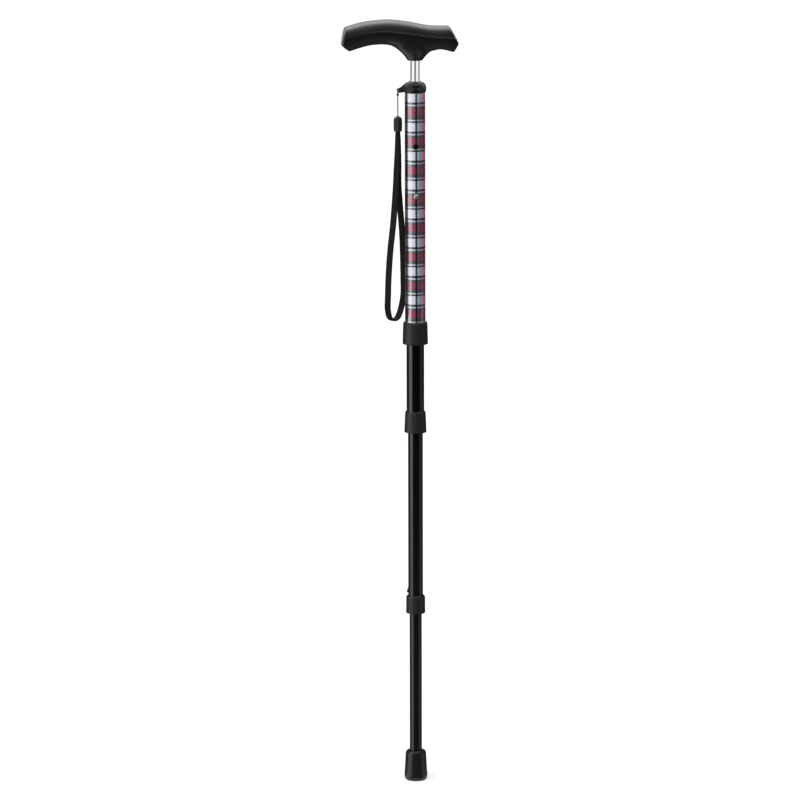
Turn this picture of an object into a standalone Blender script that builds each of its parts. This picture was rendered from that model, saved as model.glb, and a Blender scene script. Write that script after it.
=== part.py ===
"""Telescopic walking stick: a moulded T grip on a chrome post, a tartan upper tube with a
capped top and a wrist strap, three black tubes that slide into each other, and a rubber
ferrule. Metres, +Z up, origin at the middle of the ferrule's flat foot.
"""
import math

import bmesh
import bpy
import numpy as np
from mathutils import Matrix, Vector

# Visible stretches, from the floor up
FERRULE_HEIGHT = 0.033
LOWER_REACH = 0.153
THIRD_COLLAR_HEIGHT = 0.0194
THIRD_REACH = 0.1796
SECOND_COLLAR_HEIGHT = 0.023
SECOND_REACH = 0.0733
UPPER_COLLAR_HEIGHT = 0.0242
UPPER_REACH = 0.2469
CAP_HEIGHT = 0.0116
POST_REACH = 0.0223

# Clearances
SEAT_GAP = 0.0003
SLIDE_GAP = 0.0003
SLOT_GAP = 0.0003

# Tubes: the upper one's diameter, and the gap round each inner one in the bore above it
UPPER_OD = 0.022
TUBE_WALL = 0.001
TUBE_PLAY = 0.0005
LOWER_PLAY = 0.0004
POST_OD = 0.011
POST_WALL = 0.001
SECOND_OD = UPPER_OD - 2 * (TUBE_WALL + TUBE_PLAY)
THIRD_OD = SECOND_OD - 2 * (TUBE_WALL + TUBE_PLAY)
LOWER_OD = THIRD_OD - 2 * (TUBE_WALL + LOWER_PLAY)

# How far each inner tube reaches above the collar that it slides in
SECOND_INSIDE = 0.0425
THIRD_INSIDE = 0.0168
LOWER_INSIDE = 0.0168

# Collars: their walls outside the seated tube at the top and the foot, and the guiding lip
COLLAR_LIP = 0.006
COLLAR_ROUND = 0.0028
COLLAR_ROUND_SHARE = 0.8
COLLAR_FOOT_ROUND = 0.0008
UPPER_COLLAR_WALLS = (0.0018, 0.0024)
SECOND_COLLAR_WALLS = (0.00135, 0.0022)
THIRD_COLLAR_WALLS = (0.00195, 0.0021)
GROOVE_WIDTH = 0.0008
GROOVE_DEPTH = 0.0009
GROOVE_HEIGHT = 0.0095
GROOVE_SPACING = 0.0069
COLLAR_PIN_D = 0.0022
COLLAR_PIN_HEIGHT = 0.0162
COLLAR_PIN_SUNK = 0.0005

# Guide bushes on the tops of the inner tubes
BUSH_FLANGE = 0.0015
BUSH_SPIGOT = 0.005
BUSH_WALL = 0.0016

# Spring catches: a bent steel leaf, and a nose that comes out through both tube walls
LEAF_THICKNESS = 0.0005
LEAF_WIDTH = 0.005
LEAF_TIP = 0.0045
LEAF_BEND = 0.018
LEAF_BEND_RADIUS = 0.0016
NOSE_WIDTH = 0.004
NOSE_HEIGHT = 0.0059
NOSE_PROUD = 0.0015
NOSE_CHAMFER = 0.0006
NOSE_LIP = 0.0011
NOSE_ABOVE_COLLAR = 0.0032

# Height holes and the round snap button of the post
BUTTON_D = 0.0049
BUTTON_PROUD = 0.0011
BUTTON_LEAF_WIDTH = 0.004
HEIGHT_HOLE_D = 0.006
HEIGHT_HOLE_PITCH = 0.053
BUTTON_BELOW_CAP = 0.1106

# Post bush: two bearing bands with a waist between them, on the post's foot
POST_BUSH_FOOT = 0.0128
POST_BUSH_HEIGHT = 0.039
POST_BUSH_BAND = 0.007
POST_BUSH_WAIST = 0.0007
POST_BUSH_LIP = 0.002
POST_BUSH_LEDGE = 0.0005
BUSH_PIN_D = 0.0025
BUSH_PIN_DROP = 0.0055
POST_IN_GRIP = 0.0214

# Cap: a rim that overhangs the tube, a dome round the post, a shallow window at the front of
# its rim and an ear for the strap
CAP_OVERHANG = 0.0012
CAP_EDGE_OVERHANG = 0.0004
CAP_RIM = 0.0018
CAP_SIDE = 0.0043
CAP_DOME = 0.0106
CAP_CROWN_WALL = 0.0024
CAP_MOUTH_BEVEL = 0.0006
CAP_SPIGOT = 0.015
CAP_WINDOW_WIDTH = 0.0076
CAP_WINDOW_HEIGHT = 0.0084
CAP_WINDOW_DEPTH = 0.0015
EAR_REACH = 0.0061
EAR_UP = 0.0017
EAR_WIDTH = 0.0018
EAR_HOLE_D = 0.0018
EAR_SHOULDER = 0.0005

# The ear's side view round its tip, as (beyond the cap's side, height above the cap's foot)
EAR_EDGE = (
    (0.0000, 0.0081), (0.0013, 0.0069), (0.0024, 0.0060), (0.0034, 0.0052),
    (0.0045, 0.0048), (0.0056, 0.0045), (0.0066, 0.0038), (0.0073, 0.0028),
    (0.0074, 0.0018), (0.0068, 0.0007), (0.0057, -0.0003), (0.0045, -0.0008),
    (0.0034, -0.0006), (0.0013, -0.0003), (0.0001, -0.0003), (-0.0003, 0.0),
)

# Grip: lengths from the post's axis and heights from the neck's foot
GRIP_BACK = 0.0785
GRIP_FRONT = 0.0464
GRIP_HEIGHT = 0.0437
GRIP_WIDTH = 0.030
GRIP_END_WIDTH = 0.0265
GRIP_LEDGE = 0.0011
GRIP_LEDGE_DROP = 0.0009
NECK_WALL = 0.00245

# The neck's flare: heights, and how much further out it stands there to the back, to the front
# and to each side than at its foot
NECK_FLARE = (
    (0.0000, 0.0000, 0.0000, 0.0000),
    (0.0030, 0.0019, 0.0029, 0.0004),
    (0.0065, 0.0043, 0.0063, 0.0010),
    (0.0097, 0.0068, 0.0110, 0.0017),
    (0.0130, 0.0115, 0.0157, 0.0024),
    (0.0165, 0.0192, 0.0167, 0.0027),
)

# The grip's side view as (share of the back or front length, share of the height)
GRIP_TOP_SHARES = (
    (-1.10, 0.805), (-0.95, 0.831), (-0.70, 0.947), (-0.38, 1.0),
    (-0.10, 0.950), (0.25, 0.863), (0.60, 0.838), (1.20, 0.851),
)
GRIP_UNDERSIDE_SHARES = (
    (-1.10, 0.133), (-0.90, 0.224), (-0.76, 0.304), (-0.60, 0.375),
    (-0.42, 0.391), (-0.30, 0.350), (-0.12, 0.229), (0.15, 0.195),
    (0.40, 0.224), (0.60, 0.256), (0.90, 0.183), (1.20, 0.092),
)
GRIP_CREASE_SHARES = (
    (-1.10, 0.423), (-0.80, 0.549), (-0.44, 0.680),
    (-0.05, 0.620), (0.57, 0.508), (1.20, 0.485),
)
LEDGE_FADE_SHARES = (-0.5, -0.2)
BACK_RIDGE_SHARES = (-1.0, 0.389)
BACK_TOP_EDGE_SHARES = (-0.955, 0.831)
BACK_FOOT_EDGE_SHARES = (-0.905, 0.224)
FRONT_RIDGE_SHARES = (1.0, 0.412)
FRONT_TOP_EDGE_SHARES = (0.79, 0.842)
FRONT_FOOT_EDGE_SHARES = (0.91, 0.178)

# Plan width as (share of the length, share of the way from the end width to the full one)
GRIP_PLAN_SHARES = (
    (-1.10, -0.20), (-0.95, 0.0), (-0.40, 1.0), (0.20, 0.85), (0.90, 0.0), (1.20, -0.15),
)

# How full the grip's section is: powers below 1 swell a quarter circle outward. The flank
# also leans in towards its foot by a share of its width.
CROWN_FULLNESS = (0.75, 0.9)
FLANK_FULLNESS = (0.7, 0.9)
FLANK_LEAN_SHARE = 0.18

# Ferrule: its walls outside the lower tube, at its widest, shoulder, foot and neck
FERRULE_WALL = 0.0055
FERRULE_TOP_WALL = 0.0043
FERRULE_FOOT_WALL = 0.0029
FERRULE_NECK_WALL = 0.0016
FERRULE_FOOT_ROUND = 0.0039
FERRULE_WIDEST = 0.0065
FERRULE_SHOULDER = 0.0288
FERRULE_FLOOR = 0.009
FERRULE_TREAD_DEPTH = 0.0008
FERRULE_TREAD_WIDTH = 0.0011
FERRULE_TREAD_RADII = (0.0045, 0.0072)
WASHER_THICKNESS = 0.0015
WASHER_BORE = 0.004

# Wrist strap: a thin doubled cord through the ear, a crimp, a ribbed bead and a woven band
CORD_D = 0.0012
CORD_LOOP_RADIUS = 0.0018
CORD_LOOP_RISE = 0.00025
CORD_SPREAD = 0.0008
CORD_POINTS = 56
CRIMP_DROP = 0.0044
CRIMP_HEIGHT = 0.002
CRIMP_WALL = 0.0006
CRIMP_SWELL_SHARE = 0.55
BEAD_DROP = 0.0275
BEAD_HEIGHT = 0.0163
BEAD_D = 0.0094
BEAD_RIBS = 10
BEAD_RIB_DEPTH = 0.0004
BAND_WIDTH = 0.008
BAND_THICKNESS = 0.0022
BAND_END_WIDTH = 0.0054
BAND_END_THICKNESS = 0.0015
BAND_TAPER = 0.04
BAND_IN_BEAD = 0.004
BAND_DROP = 0.2033
BAND_TURN = 50.0
BAND_POINTS = 80

# The bead's side view from its foot up, as (share of the height, share of the radius)
BEAD_SHAPE_SHARES = (
    (0.00, 0.86), (0.06, 0.95), (0.35, 1.00), (0.70, 0.99),
    (0.82, 0.92), (0.91, 0.76), (0.97, 0.52), (1.00, 0.30),
)

# One strand of the open loop: how far below the bead, its lean off the tube, half its opening
BAND_STRAND = (
    (0.0060, 0.0000, 0.00105), (0.0120, -0.0001, 0.0012), (0.0335, 0.0002, 0.0015),
    (0.0466, 0.0006, 0.0018), (0.0597, 0.0008, 0.0025), (0.0728, 0.0008, 0.0041),
    (0.0859, 0.0008, 0.0058), (0.0990, 0.0008, 0.0077), (0.1121, 0.0011, 0.0097),
    (0.1260, 0.0016, 0.0115), (0.1408, 0.0020, 0.0129), (0.1603, 0.0024, 0.0141),
    (0.1720, 0.0025, 0.0145), (0.1805, 0.0029, 0.0143), (0.1878, 0.0037, 0.0133),
    (0.1935, 0.0041, 0.0116), (0.1982, 0.0044, 0.0092), (0.2018, 0.0045, 0.0055),
)

# Directions round the stick, in degrees from +X
FRONT = -90.0
BACK = 90.0
LEFT = 180.0

ROUND_SEGMENTS = 36
SMALL_SEGMENTS = 24
SMOOTH_ANGLE = math.radians(35)
MERGE = 1e-6

# Heights and directions that follow from the sizes above
THIRD_COLLAR_Z = FERRULE_HEIGHT + LOWER_REACH
THIRD_COLLAR_TOP = THIRD_COLLAR_Z + THIRD_COLLAR_HEIGHT
SECOND_COLLAR_Z = THIRD_COLLAR_TOP + THIRD_REACH
SECOND_COLLAR_TOP = SECOND_COLLAR_Z + SECOND_COLLAR_HEIGHT
UPPER_COLLAR_Z = SECOND_COLLAR_TOP + SECOND_REACH
UPPER_COLLAR_TOP = UPPER_COLLAR_Z + UPPER_COLLAR_HEIGHT
CAP_Z = UPPER_COLLAR_TOP + UPPER_REACH
NECK_Z = CAP_Z + CAP_HEIGHT + POST_REACH
BUTTON_Z = CAP_Z - BUTTON_BELOW_CAP
EAR_Z = CAP_Z + EAR_UP
CAP_RADIUS = UPPER_OD / 2 + CAP_OVERHANG
EAR_OUT = CAP_RADIUS + EAR_REACH


def clear_scene():
    for obj in list(bpy.data.objects):
        bpy.data.objects.remove(obj, do_unlink=True)


def material(name, colour, roughness, metallic=0.0):
    made = bpy.data.materials.new(name)
    made.use_nodes = True
    shader = made.node_tree.nodes["Principled BSDF"]
    shader.inputs["Base Color"].default_value = (*colour, 1.0)
    shader.inputs["Roughness"].default_value = roughness
    shader.inputs["Metallic"].default_value = metallic
    return made


def add_object(name, bm, finish, frame, turn=0.0):
    """An object from a bmesh whose points are in its frame's own coordinates."""
    bmesh.ops.remove_doubles(bm, verts=bm.verts, dist=MERGE)
    bmesh.ops.recalc_face_normals(bm, faces=bm.faces)
    mesh = bpy.data.meshes.new(name)
    bm.to_mesh(mesh)
    bm.free()
    mesh.shade_smooth()
    mesh.set_sharp_from_angle(angle=SMOOTH_ANGLE)
    obj = bpy.data.objects.new(name, mesh)
    bpy.context.scene.collection.objects.link(obj)
    obj.rotation_euler = (0, 0, math.radians(turn))
    obj.parent = frame
    if finish is not None:
        mesh.materials.append(finish)
    return obj


def add_frame(name, location, parent=None):
    """An empty on a moving group's joint axis; its place is given in world coordinates."""
    empty = bpy.data.objects.new(name, None)
    bpy.context.scene.collection.objects.link(empty)
    above = parent.matrix_world.translation if parent is not None else Vector((0, 0, 0))
    empty.parent = parent
    empty.location = Vector(location) - above
    bpy.context.view_layer.update()
    return empty


def height_of(frame):
    return frame.matrix_world.translation.z


def boolean(target, tool, operation):
    """A Boolean modifier; its tool only cuts or joins, and is hidden."""
    tool.hide_render = True
    tool.display_type = "WIRE"
    change = target.modifiers.new(tool.name, "BOOLEAN")
    change.operation = operation
    change.object = tool


def turned(profile, segments=ROUND_SEGMENTS):
    """A closed outline of (radius, height) points spun about Z; points may lie on the axis."""
    bm = bmesh.new()
    ring = [bm.verts.new((r, 0, z)) for r, z in profile]
    edges = [bm.edges.new((a, b)) for a, b in zip(ring, ring[1:] + ring[:1])]
    bmesh.ops.spin(
        bm,
        geom=ring + edges,
        axis=(0, 0, 1),
        cent=(0, 0, 0),
        angle=2 * math.pi,
        steps=segments,
        use_merge=True,
    )
    bmesh.ops.remove_doubles(bm, verts=bm.verts, dist=MERGE)
    bmesh.ops.dissolve_degenerate(bm, dist=MERGE / 10, edges=bm.edges)
    loose = [v for v in bm.verts if not v.link_faces]
    bmesh.ops.delete(bm, geom=loose, context="VERTS")
    return bm


def prism(outline, thickness):
    """A flat outline of (x, z) points given a thickness, centred on the plane y = 0."""
    bm = bmesh.new()
    face = bm.faces.new([bm.verts.new((x, -thickness / 2, z)) for x, z in outline])
    grown = bmesh.ops.extrude_face_region(bm, geom=[face])
    moved = [v for v in grown["geom"] if isinstance(v, bmesh.types.BMVert)]
    bmesh.ops.translate(bm, verts=moved, vec=(0, thickness, 0))
    return bm


def rod(radius, start, end, segments=SMALL_SEGMENTS):
    """A straight round bar between two points."""
    start, end = Vector(start), Vector(end)
    along = end - start
    bm = bmesh.new()
    bmesh.ops.create_cone(
        bm,
        cap_ends=True,
        segments=segments,
        radius1=radius,
        radius2=radius,
        depth=along.length,
        matrix=Matrix.Translation((start + end) / 2)
        @ along.to_track_quat("Z", "Y").to_matrix().to_4x4(),
    )
    return bm


def box(low, high):
    bm = bmesh.new()
    low, high = Vector(low), Vector(high)
    place = Matrix.Translation((low + high) / 2) @ Matrix.Diagonal((*(high - low), 1))
    bmesh.ops.create_cube(bm, size=1, matrix=place)
    return bm


def loft(rings):
    """Closed rings of equally many points, bridged in order and capped at both ends."""
    bm = bmesh.new()
    rows = [[bm.verts.new(p) for p in ring] for ring in rings]
    for low, high in zip(rows, rows[1:]):
        for i in range(len(low)):
            j = (i + 1) % len(low)
            bm.faces.new((low[i], low[j], high[j], high[i]))
    bm.faces.new(rows[0][::-1])
    bm.faces.new(rows[-1])
    return bm


def oval(half_x, half_y, height, count=20):
    """A ring of points on an ellipse at a height."""
    angles = np.linspace(0, 2 * math.pi, count, endpoint=False)
    return [(half_x * math.cos(a), half_y * math.sin(a), height) for a in angles]


def smooth_line(points, count):
    """Equally spaced points on a Catmull-Rom curve through the given ones."""
    p = np.array(points, float)
    p = np.vstack([2 * p[0] - p[1], p, 2 * p[-1] - p[-2]])
    t = np.linspace(0, 1, 24, endpoint=False)[:, None]
    fine = [
        0.5
        * (
            2 * b
            + (c - a) * t
            + (2 * a - 5 * b + 4 * c - d) * t**2
            + (3 * b - a - 3 * c + d) * t**3
        )
        for a, b, c, d in zip(p, p[1:], p[2:], p[3:])
    ]
    fine = np.vstack([*fine, p[-2:-1]])
    along = np.r_[0, np.cumsum(np.linalg.norm(np.diff(fine, axis=0), axis=1))]
    at = np.linspace(0, along[-1], count)
    return np.stack([np.interp(at, along, fine[:, k]) for k in range(p.shape[1])], axis=1)


def tube_profile(outer_d, wall, foot, top):
    """The outline of a plain tube's wall."""
    outer = outer_d / 2
    inner = outer - wall
    return [(inner, foot), (outer, foot), (outer, top), (inner, top)]


def arc(centre, radii, start, end, steps=4):
    """Points on a round or oval corner, with its angles in degrees from outward to up."""
    angles = np.radians(np.linspace(start, end, steps + 1))
    return [
        (centre[0] + radii[0] * math.cos(a), centre[1] + radii[1] * math.sin(a))
        for a in angles
    ]


def collar(name, finish, frame, fixed_od, sliding_od, height, walls):
    """A moulded ring pushed over a tube's lower end; its lip guides the next tube."""
    bore = fixed_od / 2 + SEAT_GAP
    lip_bore = sliding_od / 2 + SLIDE_GAP
    top = bore + walls[0]
    foot = bore + walls[1]
    small = COLLAR_FOOT_ROUND
    large = walls[0] * COLLAR_ROUND_SHARE
    outline = [(lip_bore, 0.0)]
    outline += arc((foot - small, small), (small, small), -90, 0, 2)
    outline += arc((top - large, height - COLLAR_ROUND), (large, COLLAR_ROUND), 0, 90)
    outline += [(bore, height), (bore, COLLAR_LIP), (lip_bore, COLLAR_LIP)]
    return add_object(name, turned(outline), finish, frame)


def plug_bush(name, finish, frame, tube_od, outer_od, top):
    """A guide bush: a spigot inside the tube's top and a flange that runs in the next bore."""
    flange = outer_od / 2 - TUBE_WALL - SLIDE_GAP
    spigot = tube_od / 2 - TUBE_WALL - SEAT_GAP
    bore = spigot - BUSH_WALL
    seat = top + SEAT_GAP
    outline = [
        (bore, seat - BUSH_SPIGOT),
        (spigot, seat - BUSH_SPIGOT),
        (spigot, seat),
        (flange, seat),
        (flange, seat + BUSH_FLANGE),
        (bore, seat + BUSH_FLANGE),
    ]
    add_object(name, turned(outline), finish, frame)


def leaf_outline(reach, tip, bend):
    """The edge outline of a bent leaf in (out, up): two legs that meet in a round bend.

    The legs' tips are at height tip and the bend at height bend, above or below it. Each leg
    stands reach from the middle at its tip.
    """
    way = math.copysign(1, bend - tip)
    turn = LEAF_BEND_RADIUS
    angles = np.linspace(0, math.pi, 9)
    centre = bend - way * turn
    middle = [(reach, tip)]
    middle += [(turn * math.cos(a), centre + way * turn * math.sin(a)) for a in angles]
    middle += [(-reach, tip)]
    line = np.array(middle)
    ahead = np.gradient(line, axis=0)
    side = np.stack([-ahead[:, 1], ahead[:, 0]], axis=1)
    side /= np.linalg.norm(side, axis=1)[:, None]
    half = LEAF_THICKNESS / 2
    return [tuple(p) for p in np.vstack([line + side * half, (line - side * half)[::-1]])]


def leaf_reach(inner_radius, width):
    """How far out a leaf's leg can stand in a round bore and stay clear of its wall."""
    return math.sqrt((inner_radius - SLOT_GAP) ** 2 - (width / 2) ** 2) - LEAF_THICKNESS / 2


def nose_catch(name, finish, frame, tube_od, outer_od, turn):
    """A spring catch about its frame's height: a leaf with a nose that is square within the
    walls and a ramp outside them, its abrupt face down."""
    reach = leaf_reach(tube_od / 2 - TUBE_WALL, LEAF_WIDTH)
    outline = leaf_outline(reach, LEAF_TIP, -LEAF_BEND)
    clip = add_object(name, prism(outline, LEAF_WIDTH), finish, frame, turn)
    root = reach - LEAF_THICKNESS / 2
    face = outer_od / 2
    tip = face + NOSE_PROUD
    low = -NOSE_HEIGHT / 2
    high = NOSE_HEIGHT / 2
    edge = [
        (root, low),
        (tip - NOSE_CHAMFER, low),
        (tip, low + NOSE_CHAMFER),
        (tip, low + NOSE_LIP),
        (face, high),
        (root, high),
    ]
    nose = add_object(name + "_nose", prism(edge, NOSE_WIDTH), None, frame, turn)
    boolean(clip, nose, "UNION")


def nose_slot(target, name, outer_radius, height, turn):
    """The slot that a nose comes through, cut from inside the wall to outside it."""
    half = NOSE_HEIGHT / 2 + SLOT_GAP
    side = NOSE_WIDTH / 2 + SLOT_GAP
    low = (outer_radius - 2 * TUBE_WALL, -side, height - half)
    high = (outer_radius + TUBE_WALL, side, height + half)
    tool = add_object(name, box(low, high), None, target.parent, turn)
    boolean(target, tool, "DIFFERENCE")


def round_hole(target, name, diameter, inner_radius, outer_radius, height, turn):
    """A round hole through one side of a wall, at a height and a direction."""
    start = (inner_radius - TUBE_WALL, 0, height)
    end = (outer_radius + TUBE_WALL, 0, height)
    tool = add_object(name, rod(diameter / 2, start, end), None, target.parent, turn)
    boolean(target, tool, "DIFFERENCE")


def make_ferrule(finish, steel, frame):
    """A rubber ferrule pushed over the lower tube, with a steel washer under the tube's end."""
    bore = LOWER_OD / 2 + SEAT_GAP
    foot = bore + FERRULE_FOOT_WALL
    widest = bore + FERRULE_WALL
    shoulder = bore + FERRULE_TOP_WALL
    neck = bore + FERRULE_NECK_WALL
    outline = [(0.0, 0.0)]
    for radius in FERRULE_TREAD_RADII:
        near = radius - FERRULE_TREAD_WIDTH / 2
        far = radius + FERRULE_TREAD_WIDTH / 2
        depth = FERRULE_TREAD_DEPTH
        outline += [(near, 0.0), (near, depth), (far, depth), (far, 0.0)]
    rounding = (widest - foot, FERRULE_FOOT_ROUND)
    outline += arc((foot, FERRULE_FOOT_ROUND), rounding, -90, 0, 3)
    outline += [(widest, FERRULE_WIDEST)]
    rounding = (shoulder - neck, FERRULE_HEIGHT - FERRULE_SHOULDER)
    outline += arc((neck, FERRULE_SHOULDER), rounding, 0, 90)
    outline += [(bore, FERRULE_HEIGHT), (bore, FERRULE_FLOOR), (0.0, FERRULE_FLOOR)]
    add_object("ferrule", turned(outline), finish, frame)
    seat = FERRULE_FLOOR + SEAT_GAP
    edge = bore - SEAT_GAP
    outline = [
        (WASHER_BORE / 2, seat),
        (edge, seat),
        (edge, seat + WASHER_THICKNESS),
        (WASHER_BORE / 2, seat + WASHER_THICKNESS),
    ]
    add_object("ferrule_washer", turned(outline, SMALL_SEGMENTS), steel, frame)


def make_cap(finish, frame):
    """The moulded cap on the upper tube: a dome, a spigot inside the tube and a strap ear."""
    bore = POST_OD / 2 + SLIDE_GAP
    spigot = UPPER_OD / 2 - TUBE_WALL - SEAT_GAP
    crown = bore + CAP_CROWN_WALL
    edge = UPPER_OD / 2 + CAP_EDGE_OVERHANG
    outline = [(bore, -CAP_SPIGOT), (spigot, -CAP_SPIGOT), (spigot, 0.0), (edge, 0.0)]
    outline += [(CAP_RADIUS, CAP_RIM)]
    outline += arc((crown, CAP_SIDE), (CAP_RADIUS - crown, CAP_DOME - CAP_SIDE), 0, 90)
    outline += [(bore + CAP_MOUTH_BEVEL, CAP_HEIGHT), (bore, CAP_HEIGHT - CAP_MOUTH_BEVEL)]
    cap = add_object("top_cap", turned(outline), finish, frame)

    root = (CAP_RADIUS + bore) / 2
    ear = [(-CAP_RADIUS - out, height) for out, height in EAR_EDGE]
    ear += [(-root, 0.0), (-root, CAP_DOME - EAR_SHOULDER)]
    lug = add_object("top_cap_ear", prism(ear, EAR_WIDTH), None, frame)
    boolean(cap, lug, "UNION")
    across = rod(EAR_HOLE_D / 2, (-EAR_OUT, -CAP_RADIUS, EAR_UP), (-EAR_OUT, CAP_RADIUS, EAR_UP))
    boolean(cap, add_object("top_cap_eye", across, None, frame), "DIFFERENCE")
    side = CAP_WINDOW_WIDTH / 2
    low = (CAP_RADIUS - CAP_WINDOW_DEPTH, -side, -CAP_RIM)
    high = (CAP_RADIUS + CAP_WINDOW_DEPTH, side, CAP_WINDOW_HEIGHT)
    window = add_object("top_cap_window", box(low, high), None, frame, FRONT)
    boolean(cap, window, "DIFFERENCE")


def grip_point(share):
    """A place in the grip's side view from its share of the length and of the height."""
    length = GRIP_BACK if share[0] < 0 else GRIP_FRONT
    return share[0] * length, share[1] * GRIP_HEIGHT


def grip_curve(shares):
    """A function giving a smooth height along the grip, through the points of a side view."""
    line = smooth_line([grip_point(share) for share in shares], 160)
    return lambda x: np.interp(x, line[:, 0], line[:, 1])


def grip_plan():
    """A function giving half the grip's width along its length."""
    rows = [(grip_point((along, 0))[0], wide) for along, wide in GRIP_PLAN_SHARES]
    line = smooth_line(rows, 160)
    end = GRIP_END_WIDTH / 2
    return lambda x: end + (GRIP_WIDTH / 2 - end) * np.interp(x, line[:, 0], line[:, 1])


def grip_bar():
    """The grip's bar, lofted through sections with a crown above the side crease and a
    flank set in below it, then cut by two planes at each end."""
    top = grip_curve(GRIP_TOP_SHARES)
    underside = grip_curve(GRIP_UNDERSIDE_SHARES)
    crease = grip_curve(GRIP_CREASE_SHARES)
    half_width = grip_plan()
    fade = [grip_point((share, 0))[0] for share in LEDGE_FADE_SHARES]
    quarter = np.radians(np.linspace(0, 90, 7))
    start = grip_point(GRIP_TOP_SHARES[0])[0]
    end = grip_point(GRIP_TOP_SHARES[-1])[0]
    rings = []
    for x in np.linspace(start, end, 26):
        wide = half_width(x)
        level = crease(x)
        inset = wide - GRIP_LEDGE * float(np.interp(x, fade, (0, 1)))
        lower = level - GRIP_LEDGE_DROP
        crown = [
            (
                wide * math.cos(a) ** CROWN_FULLNESS[0],
                level + (top(x) - level) * math.sin(a) ** CROWN_FULLNESS[1],
            )
            for a in quarter
        ]
        flank = [
            (
                inset * math.cos(a) ** FLANK_FULLNESS[0] * (1 - FLANK_LEAN_SHARE * math.sin(a)),
                lower - (lower - underside(x)) * math.sin(a) ** FLANK_FULLNESS[1],
            )
            for a in quarter
        ]
        right = flank[::-1] + crown
        left = [(-y, z) for y, z in right[::-1][1:-1]]
        rings.append([(x, y, z) for y, z in right + left])
    bar = loft(rings)
    inside = Vector((0, 0, GRIP_HEIGHT / 2))
    cuts = (
        (BACK_RIDGE_SHARES, BACK_TOP_EDGE_SHARES),
        (BACK_RIDGE_SHARES, BACK_FOOT_EDGE_SHARES),
        (FRONT_RIDGE_SHARES, FRONT_TOP_EDGE_SHARES),
        (FRONT_RIDGE_SHARES, FRONT_FOOT_EDGE_SHARES),
    )
    for ridge, edge in cuts:
        (x0, z0), (x1, z1) = grip_point(ridge), grip_point(edge)
        point = Vector((x0, 0, z0))
        normal = Vector((z1 - z0, 0, x0 - x1)).normalized()
        if (inside - point).dot(normal) > 0:
            normal = -normal
        bmesh.ops.bisect_plane(
            bar,
            geom=bar.verts[:] + bar.edges[:] + bar.faces[:],
            plane_co=point,
            plane_no=normal,
            clear_outer=True,
            dist=MERGE,
        )
        rim = [e for e in bar.edges if e.is_boundary]
        bmesh.ops.holes_fill(bar, edges=rim, sides=0)
    return bar


def make_grip(finish, frame):
    """The moulded T grip: its bar, a flared neck and the socket for the post."""
    grip = add_object("handle_grip", grip_bar(), finish, frame)
    foot = POST_OD / 2 + SEAT_GAP + NECK_WALL
    circle = oval(1, 1, 0, 32)
    rings = [
        [(x * (foot + (front if x > 0 else back)), y * (foot + wide), height) for x, y, _ in circle]
        for height, back, front, wide in smooth_line(NECK_FLARE, 9)
    ]
    boolean(grip, add_object("handle_grip_neck", loft(rings), None, frame), "UNION")
    socket = rod(
        POST_OD / 2 + SEAT_GAP,
        (0, 0, -POST_IN_GRIP),
        (0, 0, POST_IN_GRIP + SEAT_GAP),
        ROUND_SEGMENTS,
    )
    boolean(grip, add_object("handle_grip_socket", socket, None, frame), "DIFFERENCE")


def snap_button(finish, frame, bore_radius):
    """The post's catch about its frame's height: a bent leaf and a round, domed button."""
    reach = leaf_reach(bore_radius, BUTTON_LEAF_WIDTH)
    outline = leaf_outline(reach, -LEAF_TIP, LEAF_BEND)
    clip = add_object("post_snap_clip", prism(outline, BUTTON_LEAF_WIDTH), finish, frame, FRONT)
    face = UPPER_OD / 2
    radius = BUTTON_D / 2
    start = reach - LEAF_THICKNESS / 2
    head = [(0.0, start), (radius, start)]
    head += arc((0.0, face), (radius, BUTTON_PROUD), 0, 90)
    bm = turned(head, SMALL_SEGMENTS)
    lay = Matrix.Rotation(math.pi / 2, 3, "Y")
    bmesh.ops.rotate(bm, verts=bm.verts, cent=(0, 0, 0), matrix=lay)
    boolean(clip, add_object("post_snap_button", bm, None, frame, FRONT), "UNION")


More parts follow.
